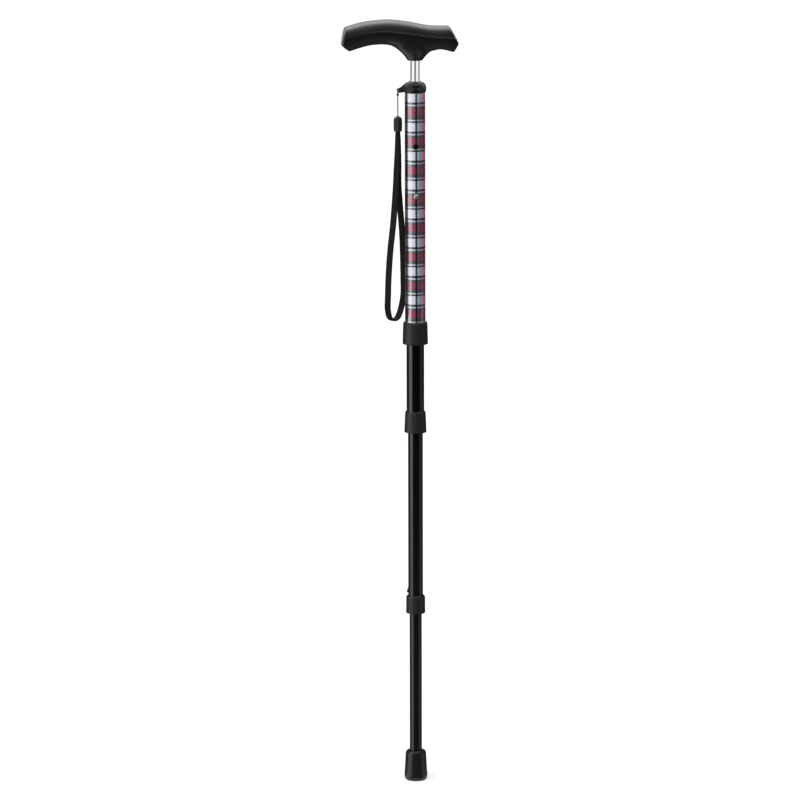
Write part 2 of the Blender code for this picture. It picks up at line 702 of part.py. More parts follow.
def make_post(chrome, nylon, steel, frame):
    """The chrome post with its guide bush, cross pin and round snap button."""
    button = BUTTON_Z - NECK_Z
    bush_foot = button - POST_BUSH_FOOT
    bush_top = bush_foot + POST_BUSH_HEIGHT
    seat = bush_foot + POST_BUSH_LIP
    outer = POST_OD / 2
    inner = outer - POST_WALL
    profile = tube_profile(POST_OD, POST_WALL, seat + SEAT_GAP, POST_IN_GRIP)
    post = add_object("post", turned(profile), chrome, frame)

    run = UPPER_OD / 2 - TUBE_WALL - SLIDE_GAP
    step = POST_BUSH_WAIST
    waist = run - step
    ledge = inner - POST_BUSH_LEDGE
    outline = [
        (ledge, bush_foot),
        (waist, bush_foot),
        (run, bush_foot + step),
        (run, bush_foot + POST_BUSH_BAND),
        (waist, bush_foot + POST_BUSH_BAND + step),
        (waist, bush_top - POST_BUSH_BAND - step),
        (run, bush_top - POST_BUSH_BAND),
        (run, bush_top - step),
        (waist, bush_top),
        (outer + SEAT_GAP, bush_top),
        (outer + SEAT_GAP, seat),
        (ledge, seat),
    ]
    bush = add_object("post_bush", turned(outline), nylon, frame)
    hole = BUTTON_D + 2 * SLOT_GAP
    round_hole(post, "post_button_hole", hole, inner, outer, button, FRONT)
    round_hole(bush, "bush_button_hole", hole, outer, run, button, FRONT)

    pin_z = bush_top - BUSH_PIN_DROP
    half = waist - SEAT_GAP
    pin = rod(BUSH_PIN_D / 2, (-half, 0, pin_z), (half, 0, pin_z))
    add_object("post_bush_pin", pin, steel, frame)
    for target in (post, bush):
        way = rod(BUSH_PIN_D / 2 + SLOT_GAP, (-UPPER_OD, 0, pin_z), (UPPER_OD, 0, pin_z))
        bore = add_object(target.name + "_pin_bore", way, None, frame)
        boolean(target, bore, "DIFFERENCE")
    snap_button(steel, add_frame("post_button_frame", (0, 0, BUTTON_Z), frame), inner)


def make_upper_section(tartan, moulded, steel, frame):
    """The tartan tube with its height holes, cap, collar and the pin that holds the collar."""
    foot = COLLAR_LIP + SEAT_GAP
    top = CAP_Z - UPPER_COLLAR_Z - SEAT_GAP
    profile = tube_profile(UPPER_OD, TUBE_WALL, foot, top)
    tube = add_object("upper_tube", turned(profile), tartan, frame)
    outer = UPPER_OD / 2
    inner = outer - TUBE_WALL
    for number in (0, 1):
        height = BUTTON_Z - UPPER_COLLAR_Z + number * HEIGHT_HOLE_PITCH
        name = f"height_hole_{number + 1}"
        round_hole(tube, name, HEIGHT_HOLE_D, inner, outer, height, FRONT)

    sizes = (UPPER_OD, SECOND_OD, UPPER_COLLAR_HEIGHT, UPPER_COLLAR_WALLS)
    ring = collar("upper_collar", moulded, frame, *sizes)
    skin = outer + SEAT_GAP + UPPER_COLLAR_WALLS[1]
    for side in (-1, 1):
        y = side * GROOVE_SPACING / 2
        low = (skin - GROOVE_DEPTH, y - GROOVE_WIDTH / 2, -GROOVE_HEIGHT)
        high = (skin + GROOVE_DEPTH, y + GROOVE_WIDTH / 2, GROOVE_HEIGHT)
        groove = add_object(f"collar_groove_{side + 2}", box(low, high), None, frame, FRONT)
        boolean(ring, groove, "DIFFERENCE")
    hole = COLLAR_PIN_D + 2 * SLOT_GAP
    height = COLLAR_PIN_HEIGHT
    round_hole(ring, "collar_pin_hole", hole, outer, skin, height, FRONT)
    round_hole(tube, "tube_pin_hole", hole, inner, outer, height, FRONT)
    end = outer + SEAT_GAP + UPPER_COLLAR_WALLS[0] - COLLAR_PIN_SUNK
    pin = rod(COLLAR_PIN_D / 2, (inner + SEAT_GAP, 0, height), (end, 0, height))
    add_object("upper_collar_pin", pin, steel, frame, FRONT)
    make_cap(moulded, add_frame("cap_frame", (0, 0, CAP_Z), frame))
    return tube


def make_section(name, finishes, frame, od, foot, top, catch, turn, outer_tube, outer_od):
    """A black tube with its guide bush and spring catch, whose nose comes out through both
    walls. foot, top and catch are heights from the floor, and turn is the catch's direction."""
    black, nylon, spring = finishes
    base = height_of(frame)
    profile = tube_profile(od, TUBE_WALL, foot - base, top - base)
    tube = add_object(f"{name}_tube", turned(profile), black, frame)
    plug_bush(f"{name}_bush", nylon, frame, od, outer_od, top - base)
    nose_slot(tube, f"{name}_tube_slot", od / 2, catch - base, turn)
    above = catch - height_of(outer_tube.parent)
    nose_slot(outer_tube, f"{name}_outer_slot", outer_od / 2, above, turn)
    press = add_frame(f"{name}_catch_frame", (0, 0, catch), frame)
    nose_catch(f"{name}_snap_clip", spring, press, od, outer_od, turn)
    return tube


def cord_route():
    """The strap cord's middle line, from the bead up through the ear and back to the bead.

    Points are measured from the ear hole's centre: a half circle through the hole, then each
    strand draws in to the crimp and runs straight down.
    """
    loop = CORD_LOOP_RADIUS
    centre = CORD_LOOP_RISE - loop
    crimp_top = CRIMP_HEIGHT / 2 - CRIMP_DROP
    crimp_foot = -CRIMP_HEIGHT / 2 - CRIMP_DROP
    half = [(CORD_SPREAD, z) for z in np.linspace(-BEAD_DROP, crimp_foot, 5)]
    half += [(CORD_SPREAD, crimp_top)]
    half += [((CORD_SPREAD + loop) / 2, (crimp_top + centre) / 2 - CORD_D / 5)]
    half += arc((0, centre), (loop, loop), -14, 74)
    points = half + [(0.0, centre + loop)] + [(-y, z) for y, z in half[::-1]]
    return [(0.0, y, z) for y, z in points]


def make_cord(finish, frame):
    """The thin cord, doubled through the ear."""
    line = smooth_line(cord_route(), CORD_POINTS)
    data = bpy.data.curves.new("strap_cord", "CURVE")
    data.dimensions = "3D"
    data.bevel_depth = CORD_D / 2
    data.bevel_resolution = 2
    data.use_fill_caps = True
    data.materials.append(finish)
    spline = data.splines.new("POLY")
    spline.points.add(len(line) - 1)
    for point, place in zip(spline.points, line):
        point.co = (*place, 1.0)
    cord = bpy.data.objects.new("strap_cord", data)
    bpy.context.scene.collection.objects.link(cord)
    cord.parent = frame


def make_crimp(finish, frame, half_x, half_y):
    """The crimp that draws the two strands together, swollen round its middle."""
    levels = np.linspace(-0.5, 0.5, 5)
    rings = []
    for level in levels:
        wall = CRIMP_WALL * (1 - CRIMP_SWELL_SHARE + CRIMP_SWELL_SHARE * math.cos(math.pi * level))
        height = level * CRIMP_HEIGHT - CRIMP_DROP
        rings.append(oval(half_x + wall, half_y + wall, height))
    crimp = add_object("strap_crimp", loft(rings), finish, frame)
    middle = -CRIMP_DROP
    bore = loft([oval(half_x, half_y, middle + side * CRIMP_HEIGHT) for side in (-1, 1)])
    boolean(crimp, add_object("strap_crimp_bore", bore, None, frame), "DIFFERENCE")


def make_bead(finish, frame, half_x, half_y):
    """The ribbed bead: a bullet shape with ribs, a bore for the cord and a mouth for the band."""
    radius = BEAD_D / 2
    top = -BEAD_DROP + SEAT_GAP
    foot = top - BEAD_HEIGHT
    angles = np.linspace(0, 2 * math.pi, BEAD_RIBS * 4, endpoint=False)
    rings = []
    for up, share in BEAD_SHAPE_SHARES:
        dips = BEAD_RIB_DEPTH * share * (0.5 - 0.5 * np.cos(BEAD_RIBS * angles))
        height = foot + up * BEAD_HEIGHT
        rings.append([
            ((radius * share - dip) * math.cos(a), (radius * share - dip) * math.sin(a), height)
            for a, dip in zip(angles, dips)
        ])
    bead = add_object("strap_bead", loft(rings), finish, frame)
    bore = loft([oval(half_x, half_y, z) for z in (foot, top + CORD_D)])
    boolean(bead, add_object("strap_bead_bore", bore, None, frame), "DIFFERENCE")
    deep = BAND_END_THICKNESS + 3 * SLOT_GAP / 2
    wide = BAND_END_WIDTH / 2 + SLOT_GAP
    low = (-deep, -wide, foot - CORD_D)
    high = (deep, wide, foot + BAND_IN_BEAD + SEAT_GAP)
    mouth = add_object("strap_bead_mouth", box(low, high), None, frame, BAND_TURN)
    boolean(bead, mouth, "DIFFERENCE")


def band_route(foot):
    """The band's middle line: down its right strand, round the bottom and up its left.

    The loop's own plane is turned from the stick's, and it leans away from the tube.
    """
    inside = (BAND_END_THICKNESS + SLOT_GAP) / 2
    rows = [(-BAND_IN_BEAD, 0.0, inside), (0.0, 0.0, inside), *BAND_STRAND]
    turn = math.radians(BAND_TURN)
    lean = [(-off * math.cos(turn), off * math.sin(turn)) for _, off, _ in rows]
    right = [(x + half, y, foot - drop) for (x, y), (drop, _, half) in zip(lean, rows)]
    left = [(x - half, y, foot - drop) for (x, y), (drop, _, half) in zip(lean, rows)]
    return right + [(*lean[-1], foot - BAND_DROP)] + left[::-1]


def make_band(finish, frame):
    """The woven wrist loop: a flat band swept along its route, narrower where it enters the
    bead, its faces square to the loop."""
    line = smooth_line(band_route(-BEAD_DROP + SEAT_GAP - BEAD_HEIGHT), BAND_POINTS)
    ahead = np.gradient(line, axis=0)
    side = np.stack([-ahead[:, 2], ahead[:, 0]], axis=1)
    side /= np.linalg.norm(side, axis=1)[:, None]
    along = np.r_[0, np.cumsum(np.linalg.norm(np.diff(line, axis=0), axis=1))]
    from_end = np.minimum(along, along[-1] - along)
    full = np.clip((from_end - BAND_IN_BEAD - SEAT_GAP) / BAND_TAPER, 0, 1)
    widths = BAND_END_WIDTH + (BAND_WIDTH - BAND_END_WIDTH) * full
    depths = BAND_END_THICKNESS + (BAND_THICKNESS - BAND_END_THICKNESS) * full
    rings = []
    for (x, y, z), (nx, nz), width, depth in zip(line, side, widths, depths):
        far = (x + nx * depth / 2, z + nz * depth / 2)
        near = (x - nx * depth / 2, z - nz * depth / 2)
        half = width / 2
        rings.append([
            (far[0], y - half, far[1]),
            (far[0], y + half, far[1]),
            (near[0], y + half, near[1]),
            (near[0], y - half, near[1]),
        ])
    add_object("strap_band", loft(rings), finish, frame, BAND_TURN)


def make_strap(black, frame):
    """The wrist strap, which hangs from the cap's ear."""
    half_x = CORD_D / 2 + SLOT_GAP
    half_y = CORD_SPREAD + CORD_D / 2 + SLOT_GAP
    make_cord(black, frame)
    make_crimp(black, frame, half_x, half_y)
    make_bead(black, frame, half_x, half_y)
    make_band(black, frame)


clear_scene()
grip_black = material("soft_touch_grip", (0.018, 0.018, 0.02), 0.42)
chrome = material("chrome", (0.82, 0.83, 0.85), 0.08, 1.0)
tartan = material("tartan_film", (0.42, 0.25, 0.32), 0.35)
moulded = material("moulded_collar", (0.034, 0.034, 0.036), 0.5)
gloss_black = material("black_anodised_tube", (0.012, 0.012, 0.014), 0.22, 0.6)
nylon = material("nylon_bush", (0.55, 0.55, 0.52), 0.5)
spring_steel = material("spring_steel", (0.62, 0.62, 0.64), 0.25, 1.0)
catch_black = material("blackened_spring", (0.02, 0.02, 0.022), 0.35, 0.5)
rubber = material("ferrule_rubber", (0.045, 0.045, 0.047), 0.7)
woven_black = material("woven_strap", (0.012, 0.012, 0.013), 0.8)

handle = add_frame("handle_frame", (0, 0, NECK_Z))
upper = add_frame("upper_section_frame", (0, 0, UPPER_COLLAR_Z), handle)
second = add_frame("second_section_frame", (0, 0, SECOND_COLLAR_Z), upper)
third = add_frame("third_section_frame", (0, 0, THIRD_COLLAR_Z), second)
lower = add_frame("lower_section_frame", (0, 0, 0), third)
strap = add_frame("strap_frame", (-EAR_OUT, 0, EAR_Z), upper)

make_grip(grip_black, handle)
make_post(chrome, nylon, spring_steel, handle)
upper_tube = make_upper_section(tartan, moulded, spring_steel, upper)

black_finishes = (gloss_black, nylon, catch_black)
above_lip = COLLAR_LIP + SEAT_GAP
above_collar = NOSE_ABOVE_COLLAR + NOSE_HEIGHT / 2
below_bush = BUSH_SPIGOT + SEAT_GAP + LEAF_TIP + SLOT_GAP

second_top = UPPER_COLLAR_TOP + SECOND_INSIDE
second_tube = make_section(
    "second",
    black_finishes,
    second,
    od=SECOND_OD,
    foot=SECOND_COLLAR_Z + above_lip,
    top=second_top,
    catch=second_top - below_bush,
    turn=BACK,
    outer_tube=upper_tube,
    outer_od=UPPER_OD,
)
sizes = (SECOND_OD, THIRD_OD, SECOND_COLLAR_HEIGHT, SECOND_COLLAR_WALLS)
collar("second_collar", moulded, second, *sizes)

third_tube = make_section(
    "third",
    black_finishes,
    third,
    od=THIRD_OD,
    foot=THIRD_COLLAR_Z + above_lip,
    top=SECOND_COLLAR_TOP + THIRD_INSIDE,
    catch=SECOND_COLLAR_TOP + above_collar,
    turn=BACK,
    outer_tube=second_tube,
    outer_od=SECOND_OD,
)
sizes = (THIRD_OD, LOWER_OD, THIRD_COLLAR_HEIGHT, THIRD_COLLAR_WALLS)
collar("third_collar", moulded, third, *sizes)

make_ferrule(rubber, spring_steel, lower)
make_section(
    "lower",
    black_finishes,
    lower,
    od=LOWER_OD,
    foot=FERRULE_FLOOR + SEAT_GAP + WASHER_THICKNESS + SEAT_GAP,
    top=THIRD_COLLAR_TOP + LOWER_INSIDE,
    catch=THIRD_COLLAR_TOP + above_collar,
    turn=LEFT,
    outer_tube=third_tube,
    outer_od=THIRD_OD,
)
make_strap(woven_black, strap)
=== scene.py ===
import math

import bmesh
import bpy
import numpy as np
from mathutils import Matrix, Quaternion, Vector


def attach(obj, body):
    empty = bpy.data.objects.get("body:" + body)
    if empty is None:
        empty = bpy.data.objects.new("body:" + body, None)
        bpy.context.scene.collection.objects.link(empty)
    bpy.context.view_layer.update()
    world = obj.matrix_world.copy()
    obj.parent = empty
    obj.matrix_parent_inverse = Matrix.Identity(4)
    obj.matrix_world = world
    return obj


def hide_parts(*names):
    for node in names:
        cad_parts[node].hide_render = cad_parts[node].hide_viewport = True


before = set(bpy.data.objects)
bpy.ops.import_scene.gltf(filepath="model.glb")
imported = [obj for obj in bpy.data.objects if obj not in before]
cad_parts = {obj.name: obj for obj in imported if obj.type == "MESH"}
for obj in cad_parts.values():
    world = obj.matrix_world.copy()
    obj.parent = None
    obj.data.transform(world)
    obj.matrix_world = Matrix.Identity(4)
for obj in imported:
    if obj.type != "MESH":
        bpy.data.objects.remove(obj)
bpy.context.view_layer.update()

# ---- Camera --------------------------------------------------------------------------------
# The photograph looks at the stick's front from 5 m, ten degrees above level and a little from
# the strap's side. The stick stands just right of the picture's middle.
CAMERA_DISTANCE = 5.0
CAMERA_RISE = math.radians(10)
CAMERA_YAW = math.radians(-5)
CAMERA_LENS = 209.2
LOOK_HEIGHT = 0.42
FRAME_SHIFT = 0.01654
CAMERA_ROLL = math.radians(-0.12)


def placed(name, data):
    """A new object in the scene."""
    obj = bpy.data.objects.new(name, data)
    bpy.context.scene.collection.objects.link(obj)
    return obj


right_of_view = Vector((math.cos(CAMERA_YAW), math.sin(CAMERA_YAW), 0))
towards_camera = Vector((
    math.cos(CAMERA_RISE) * math.sin(CAMERA_YAW),
    -math.cos(CAMERA_RISE) * math.cos(CAMERA_YAW),
    math.sin(CAMERA_RISE),
))
looked_at = Vector((0, 0, LOOK_HEIGHT)) - FRAME_SHIFT * right_of_view
camera = placed("camera", bpy.data.cameras.new("camera"))
camera.data.lens = CAMERA_LENS
camera.data.clip_end = 200
camera.location = looked_at + CAMERA_DISTANCE * towards_camera
roll = Quaternion((0, 0, 1), CAMERA_ROLL)
camera.rotation_euler = ((-towards_camera).to_track_quat("-Z", "Y") @ roll).to_euler()
bpy.context.scene.camera = camera
bpy.context.scene.view_settings.view_transform = "Standard"


# ---- Studio --------------------------------------------------------------------------------
# A white sweep under one broad soft lamp. Cards that only reflections see stand round the stick,
# as a photographer sets them: side cards draw the lit and the dark bands along the round tubes,
# and a long softbox overhead lights the grip's crown.
FLOOR_SIZE = 80.0
FLOOR_TONE = 0.6
FLOOR_GLOW = 0.62
SKY_FILL = 0.25
LAMP_STRENGTH = 2.9
LAMP_SPREAD = math.radians(70)
LAMP_RISE = math.radians(45)
LAMP_SIDE = math.radians(-30)
CARD_RADIUS = 0.5
CARD_STEPS = 144
HOOD_ROWS = 19
FLOOR_CARD_RADIUS = 0.02
FLOOR_CARD_Z = 0.0015
TUBE_CARDS_FULL = 0.42
UPPER_CARDS_FULL = 0.50
POST_CARDS_Z = 0.70
HOOD_Z = 0.80

# Cards' brightness by degrees round from the camera, to the right positive
FLOOR_CARDS = (
    (-180, 0.15), (-125, 0.15), (-108, 0.10), (-96, 0.06), (-86, 1.6), (-48, 1.6), (-40, 0.2),
    (-28, 0.1), (50, 0.1), (62, 0.5), (84, 0.6), (100, 0.3), (115, 0.12), (180, 0.15),
)
TUBE_CARDS = (
    (-180, 0.06), (-130, 0.10), (-112, 0.08), (-101, 0.02), (-92, 0.02), (-86, 2.5),
    (-48, 2.5), (-42, 0.2), (-34, 0.01), (58, 0.01), (68, 0.25), (84, 0.50), (98, 0.28),
    (110, 0.06), (140, 0.04), (180, 0.06),
)
UPPER_CARDS = (
    (-180, 0.08), (-100, 0.06), (-88, 0.06), (-82, 1.8), (-40, 1.8), (-30, 0.1), (-10, 0.02),
    (18, 0.02), (30, 0.12), (66, 0.14), (84, 0.08), (120, 0.04), (180, 0.06),
)
POST_CARDS = (
    (-180, 0.9), (-134, 0.9), (-124, 0.42), (-66, 0.42), (-58, 1.3), (-22, 1.3), (-14, 0.36),
    (26, 0.30), (33, 1.3), (64, 1.25), (76, 0.9), (86, 0.38), (122, 0.38), (134, 0.6), (180, 0.9),
)
# The hood's brightness by degrees from the front's horizon up over the top to the back's
HOOD_CARDS = (
    (0, 0.0), (40, 0.05), (60, 0.4), (76, 2.0), (90, 4.6), (106, 5.4), (124, 4.2), (150, 1.2),
    (180, 0.3),
)


def add(tree, kind, inputs=None, **settings):
    """A shader node with its settings; each input is given a value or another node's socket."""
    made = tree.nodes.new(kind)
    for name, value in settings.items():
        setattr(made, name, value)
    for name, value in (inputs or {}).items():
        if isinstance(value, bpy.types.NodeSocket):
            tree.links.new(value, made.inputs[name])
        else:
            made.inputs[name].default_value = value
    return made


def sums(tree, operation, *values):
    """One Math node's result."""
    return add(tree, "ShaderNodeMath", dict(enumerate(values)), operation=operation).outputs[0]


def ranged(tree, value, low, high, least=0.0, most=1.0, **settings):
    """A value between low and high, drawn out to run from least to most."""
    return add(tree, "ShaderNodeMapRange", {0: value, 1: low, 2: high, 3: least, 4: most},
               **settings).outputs[0]


def between(tree, share, first, second):
    """A value that runs from first to second as share goes from 0 to 1."""
    return add(tree, "ShaderNodeMix", {0: share, 2: first, 3: second}).outputs[0]


def bare_tree(made):
    """The emptied node tree of a new material or world."""
    made.use_nodes = True
    made.node_tree.nodes.clear()
    return made.node_tree


def turns(count):
    """Equal angles round a circle."""
    return np.linspace(0, 2 * math.pi, count, endpoint=False)


def grid_faces(rows, columns, along=False):
    """Four-sided faces between a grid's neighbours. Each row is closed on itself, and along
    closes the last row on the first."""
    index = np.arange(rows * columns).reshape(rows, columns)
    full = np.hstack([index, index[:, :1]])
    if along:
        full = np.vstack([full, full[:1]])
    quads = np.stack([full[:-1, :-1], full[:-1, 1:], full[1:, 1:], full[1:, :-1]], axis=-1)
    return quads.reshape(-1, 4).tolist()


def seen_directly(tree):
    """1 where the camera, a reflection or a clear piece looks, and 0 for light on the object."""
    path = add(tree, "ShaderNodeLightPath").outputs
    either = sums(tree, "MAXIMUM", path["Is Camera Ray"], path["Is Glossy Ray"])
    return sums(tree, "MAXIMUM", either, path["Is Transmission Ray"])


def ramp_of(tree, place, stops, interpolation="LINEAR"):
    """A colour ramp whose stops are (place, colour) in rising order, the first at 0."""
    made = add(tree, "ShaderNodeValToRGB", {0: place})
    ramp = made.color_ramp
    ramp.interpolation = interpolation
    ramp.elements.remove(ramp.elements[1])
    ramp.elements[0].position = 0.0
    ramp.elements[0].color = (*stops[0][1], 1)
    for at, colour in stops[1:]:
        ramp.elements.new(at).color = (*colour, 1)
    return made.outputs[0]


def brightness(tree, angle, stops):
    """A card's brightness at an angle in radians, read from (degrees, value) stops."""
    first, last = stops[0][0], stops[-1][0]
    place = ranged(tree, angle, math.radians(first), math.radians(last))
    most = max(value for _, value in stops)
    ramp = ramp_of(tree, place, [((degrees - first) / (last - first), (value / most,) * 3)
                                 for degrees, value in stops])
    return sums(tree, "MULTIPLY", ramp, most)


def from_camera(tree, place):
    """How far forward and how far right a place is, as the camera stands."""
    c, s = math.cos(CAMERA_YAW), math.sin(CAMERA_YAW)
    forward = sums(tree, "SUBTRACT", sums(tree, "MULTIPLY", place["X"], s),
                   sums(tree, "MULTIPLY", place["Y"], c))
    right = sums(tree, "ADD", sums(tree, "MULTIPLY", place["X"], c),
                 sums(tree, "MULTIPLY", place["Y"], s))
    return forward, right


def tube_light(tree, place):
    """The side cards, dimmer towards the floor and further forward beside the upper tube."""
    forward, right = from_camera(tree, place)
    angle = sums(tree, "ARCTAN2", right, forward)
    light = brightness(tree, angle, FLOOR_CARDS)
    for stops, low, high in ((TUBE_CARDS, 0.0, TUBE_CARDS_FULL),
                             (UPPER_CARDS, TUBE_CARDS_FULL, UPPER_CARDS_FULL)):
        up = ranged(tree, place["Z"], low, high, interpolation_type="SMOOTHSTEP")
        light = between(tree, up, light, brightness(tree, angle, stops))
    return light


def post_light(tree, place):
    forward, right = from_camera(tree, place)
    return brightness(tree, sums(tree, "ARCTAN2", right, forward), POST_CARDS)


def hood_light(tree, place):
    forward, _ = from_camera(tree, place)
    rise = sums(tree, "SUBTRACT", place["Z"], HOOD_Z)
    return brightness(tree, sums(tree, "ARCTAN2", rise, forward), HOOD_CARDS)


def cards(name, rows, light):
    """A sheet of cards that only reflections see: rows of (radius, height) turned about Z."""
    around = turns(CARD_STEPS)
    r, z = np.array(rows, float).T[:, :, None]
    sheet = np.stack([r * np.sin(around), -r * np.cos(around), z + 0 * around], axis=-1)
    mesh = bpy.data.meshes.new(name)
    mesh.from_pydata(sheet.reshape(-1, 3).tolist(), [], grid_faces(len(rows), CARD_STEPS))
    made = bpy.data.materials.new(name)
    tree = bare_tree(made)
    place = add(tree, "ShaderNodeSeparateXYZ",
                {0: add(tree, "ShaderNodeTexCoord").outputs["Object"]}).outputs
    lit = add(tree, "ShaderNodeEmission", {"Strength": light(tree, place)})
    add(tree, "ShaderNodeOutputMaterial", {"Surface": lit.outputs[0]})
    mesh.materials.append(made)
    obj = placed(name, mesh)
    obj.visible_camera = obj.visible_diffuse = obj.visible_shadow = False
    obj.visible_transmission = obj.visible_volume_scatter = False


half = FLOOR_SIZE / 2
floor_mesh = bpy.data.meshes.new("floor")
floor_mesh.from_pydata([(-half, -half, 0), (half, -half, 0), (half, half, 0), (-half, half, 0)],
                       [], [(0, 1, 2, 3)])
sweep = bpy.data.materials.new("white_sweep")
tree = bare_tree(sweep)
matt = add(tree, "ShaderNodeBsdfDiffuse", {"Color": (FLOOR_TONE, FLOOR_TONE, FLOOR_TONE, 1)})
glow = add(tree, "ShaderNodeEmission",
           {"Strength": sums(tree, "MULTIPLY", seen_directly(tree), FLOOR_GLOW)})
both = add(tree, "ShaderNodeAddShader", {0: matt.outputs[0], 1: glow.outputs[0]})
add(tree, "ShaderNodeOutputMaterial", {"Surface": both.outputs[0]})
floor_mesh.materials.append(sweep)
placed("floor", floor_mesh)

sky = bpy.data.worlds.new("studio")
bpy.context.scene.world = sky
tree = bare_tree(sky)
level = ranged(tree, seen_directly(tree), 0.0, 1.0, SKY_FILL)
backdrop = add(tree, "ShaderNodeBackground", {"Strength": level})
add(tree, "ShaderNodeOutputWorld", {"Surface": backdrop.outputs[0]})

lamp = placed("soft_lamp", bpy.data.lights.new("soft_lamp", "SUN"))
lamp.data.energy = LAMP_STRENGTH
lamp.data.angle = LAMP_SPREAD
round_to = CAMERA_YAW + LAMP_SIDE
lamp_from = Vector((math.cos(LAMP_RISE) * math.sin(round_to),
                    -math.cos(LAMP_RISE) * math.cos(round_to), math.sin(LAMP_RISE)))
lamp.rotation_euler = lamp_from.to_track_quat("Z", "Y").to_euler()

cards("tube_cards", [(FLOOR_CARD_RADIUS, FLOOR_CARD_Z), (CARD_RADIUS, FLOOR_CARD_Z),
                     (CARD_RADIUS, POST_CARDS_Z)], tube_light)
cards("post_cards", [(CARD_RADIUS, POST_CARDS_Z), (CARD_RADIUS, HOOD_Z)], post_light)
cards("hood_cards", [(CARD_RADIUS * math.cos(a), HOOD_Z + CARD_RADIUS * math.sin(a))
                     for a in np.linspace(0, math.pi / 2, HOOD_ROWS)], hood_light)


# ---- Strap cord ----------------------------------------------------------------------------
# A thin two-ply polyester cord, doubled through the cap's ear. A crimp draws its two strands
# together, and both ends go down into the bead.
EAR = np.array([-0.0183, 0.0, 0.7541])
CORD_D = 0.0012
CORD_LOOP_RADIUS = 0.0018
CORD_LOOP_RISE = 0.00025
CORD_SPREAD = 0.0008
CORD_TWIST = 0.0022
CRIMP_DROP = 0.0044
CRIMP_HEIGHT = 0.002
BEAD_DROP = 0.0275
CORD_RINGS = 320
CORD_SIDES = 20
PLY_MEAN = 0.9
PLY_SWELL = 0.13
LOOP_ARC = (-14, 74)
STRAP_BLACK = (0.006, 0.006, 0.0065)
STRAP_GREY = (0.022, 0.022, 0.023)


def unit(vectors):
    return vectors / np.linalg.norm(vectors, axis=-1, keepdims=True)


def run_along(line):
    """How far along a line each of its points lies."""
    return np.r_[0, np.cumsum(np.linalg.norm(np.diff(line, axis=0), axis=1))]


def resampled(line, count, endpoint=True):
    """Points spread evenly along a line."""
    along = run_along(line)
    at = np.linspace(0, along[-1], count, endpoint=endpoint)
    return np.stack([np.interp(at, along, column) for column in line.T], axis=1)


def circle(count):
    """Points round the unit circle."""
    return np.stack([np.cos(turns(count)), np.sin(turns(count))], axis=-1)


def smooth_line(points, count):
    """Equally spaced points on a Catmull-Rom curve through the given ones."""
    p = np.array(points, float)
    p = np.vstack([2 * p[0] - p[1], p, 2 * p[-1] - p[-2]])
    t = np.linspace(0, 1, 24, endpoint=False)[:, None, None]
    a, b, c, d = p[:-3], p[1:-2], p[2:-1], p[3:]
    spans = 0.5 * (2 * b + (c - a) * t + (2 * a - 5 * b + 4 * c - d) * t**2
                   + (3 * b - a - 3 * c + d) * t**3)
    fine = np.vstack([spans.transpose(1, 0, 2).reshape(-1, p.shape[1]), p[-2:-1]])
    return resampled(fine, count)


def arc(centre, radii, start, end, count=24):
    """Points on a round or oval corner, with its angles in degrees from outward to up."""
    angles = np.radians(np.linspace(start, end, count))
    return np.stack([centre[0] + radii[0] * np.cos(angles),
                     centre[1] + radii[1] * np.sin(angles)], axis=1)


def skin(name, grids, *finishes, along=False, ends=False, sharp=35):
    """A piece from one or more grids of points, rows by columns.

    Its rows are closed. along closes its columns too, and ends fills its first and last rows.
    Doubled points at seams and poles are merged, and a grid that came out inside out is turned.
    """
    bm = bmesh.new()
    for points in grids if isinstance(grids, list) else [grids]:
        rows, columns = points.shape[:2]
        faces = grid_faces(rows, columns, along)
        if ends:
            count = rows * columns
            faces += [list(range(columns))[::-1], list(range(count - columns, count))]
        part = bpy.data.meshes.new(name)
        part.from_pydata(points.reshape(-1, 3).tolist(), [], faces)
        shell = bmesh.new()
        shell.from_mesh(part)
        bmesh.ops.remove_doubles(shell, verts=shell.verts, dist=1e-6)
        bmesh.ops.dissolve_degenerate(shell, dist=1e-7, edges=shell.edges)
        if shell.calc_volume(signed=True) < 0:
            bmesh.ops.reverse_faces(shell, faces=shell.faces)
        shell.to_mesh(part)
        shell.free()
        bm.from_mesh(part)
        bpy.data.meshes.remove(part)
    mesh = bpy.data.meshes.new(name)
    bm.to_mesh(mesh)
    bm.free()
    for finish in finishes:
        mesh.materials.append(finish)
    return shade(placed(name, mesh), sharp)


def shade(obj, sharp=35):
    obj.data.shade_smooth()
    obj.data.set_sharp_from_angle(angle=math.radians(sharp))
    return obj


def carried(path, across, out, section):
    """A section carried along a path: each point is path + across * u + out * v, where (u, v)
    is the section's own point at that place. section is one outline or one for each place."""
    outline = np.broadcast_to(section, (len(path), *section.shape[-2:]))
    return (path[:, None] + across[:, None] * outline[..., :1] + out[:, None] * outline[..., 1:])


def dress(obj, body, slot, *nodes):
    """A finished piece: the body it rides on and the CAD nodes it stands for. Its record slot,
    slot, is not used.
    """
    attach(obj, body)
    if nodes:
        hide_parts(*nodes)
    return obj


def finish_of(name, colour, roughness, metallic=0.0, **sockets):
    """A material's Principled shader with its plain values; sockets' names have _ for spaces."""
    made = bpy.data.materials.new(name)
    made.use_nodes = True
    shader = made.node_tree.nodes["Principled BSDF"]
    shader.inputs["Base Color"].default_value = (*colour, 1)
    shader.inputs["Roughness"].default_value = roughness
    shader.inputs["Metallic"].default_value = metallic
    for name, value in sockets.items():
        shader.inputs[name.replace("_", " ")].default_value = value
    return made, made.node_tree, shader


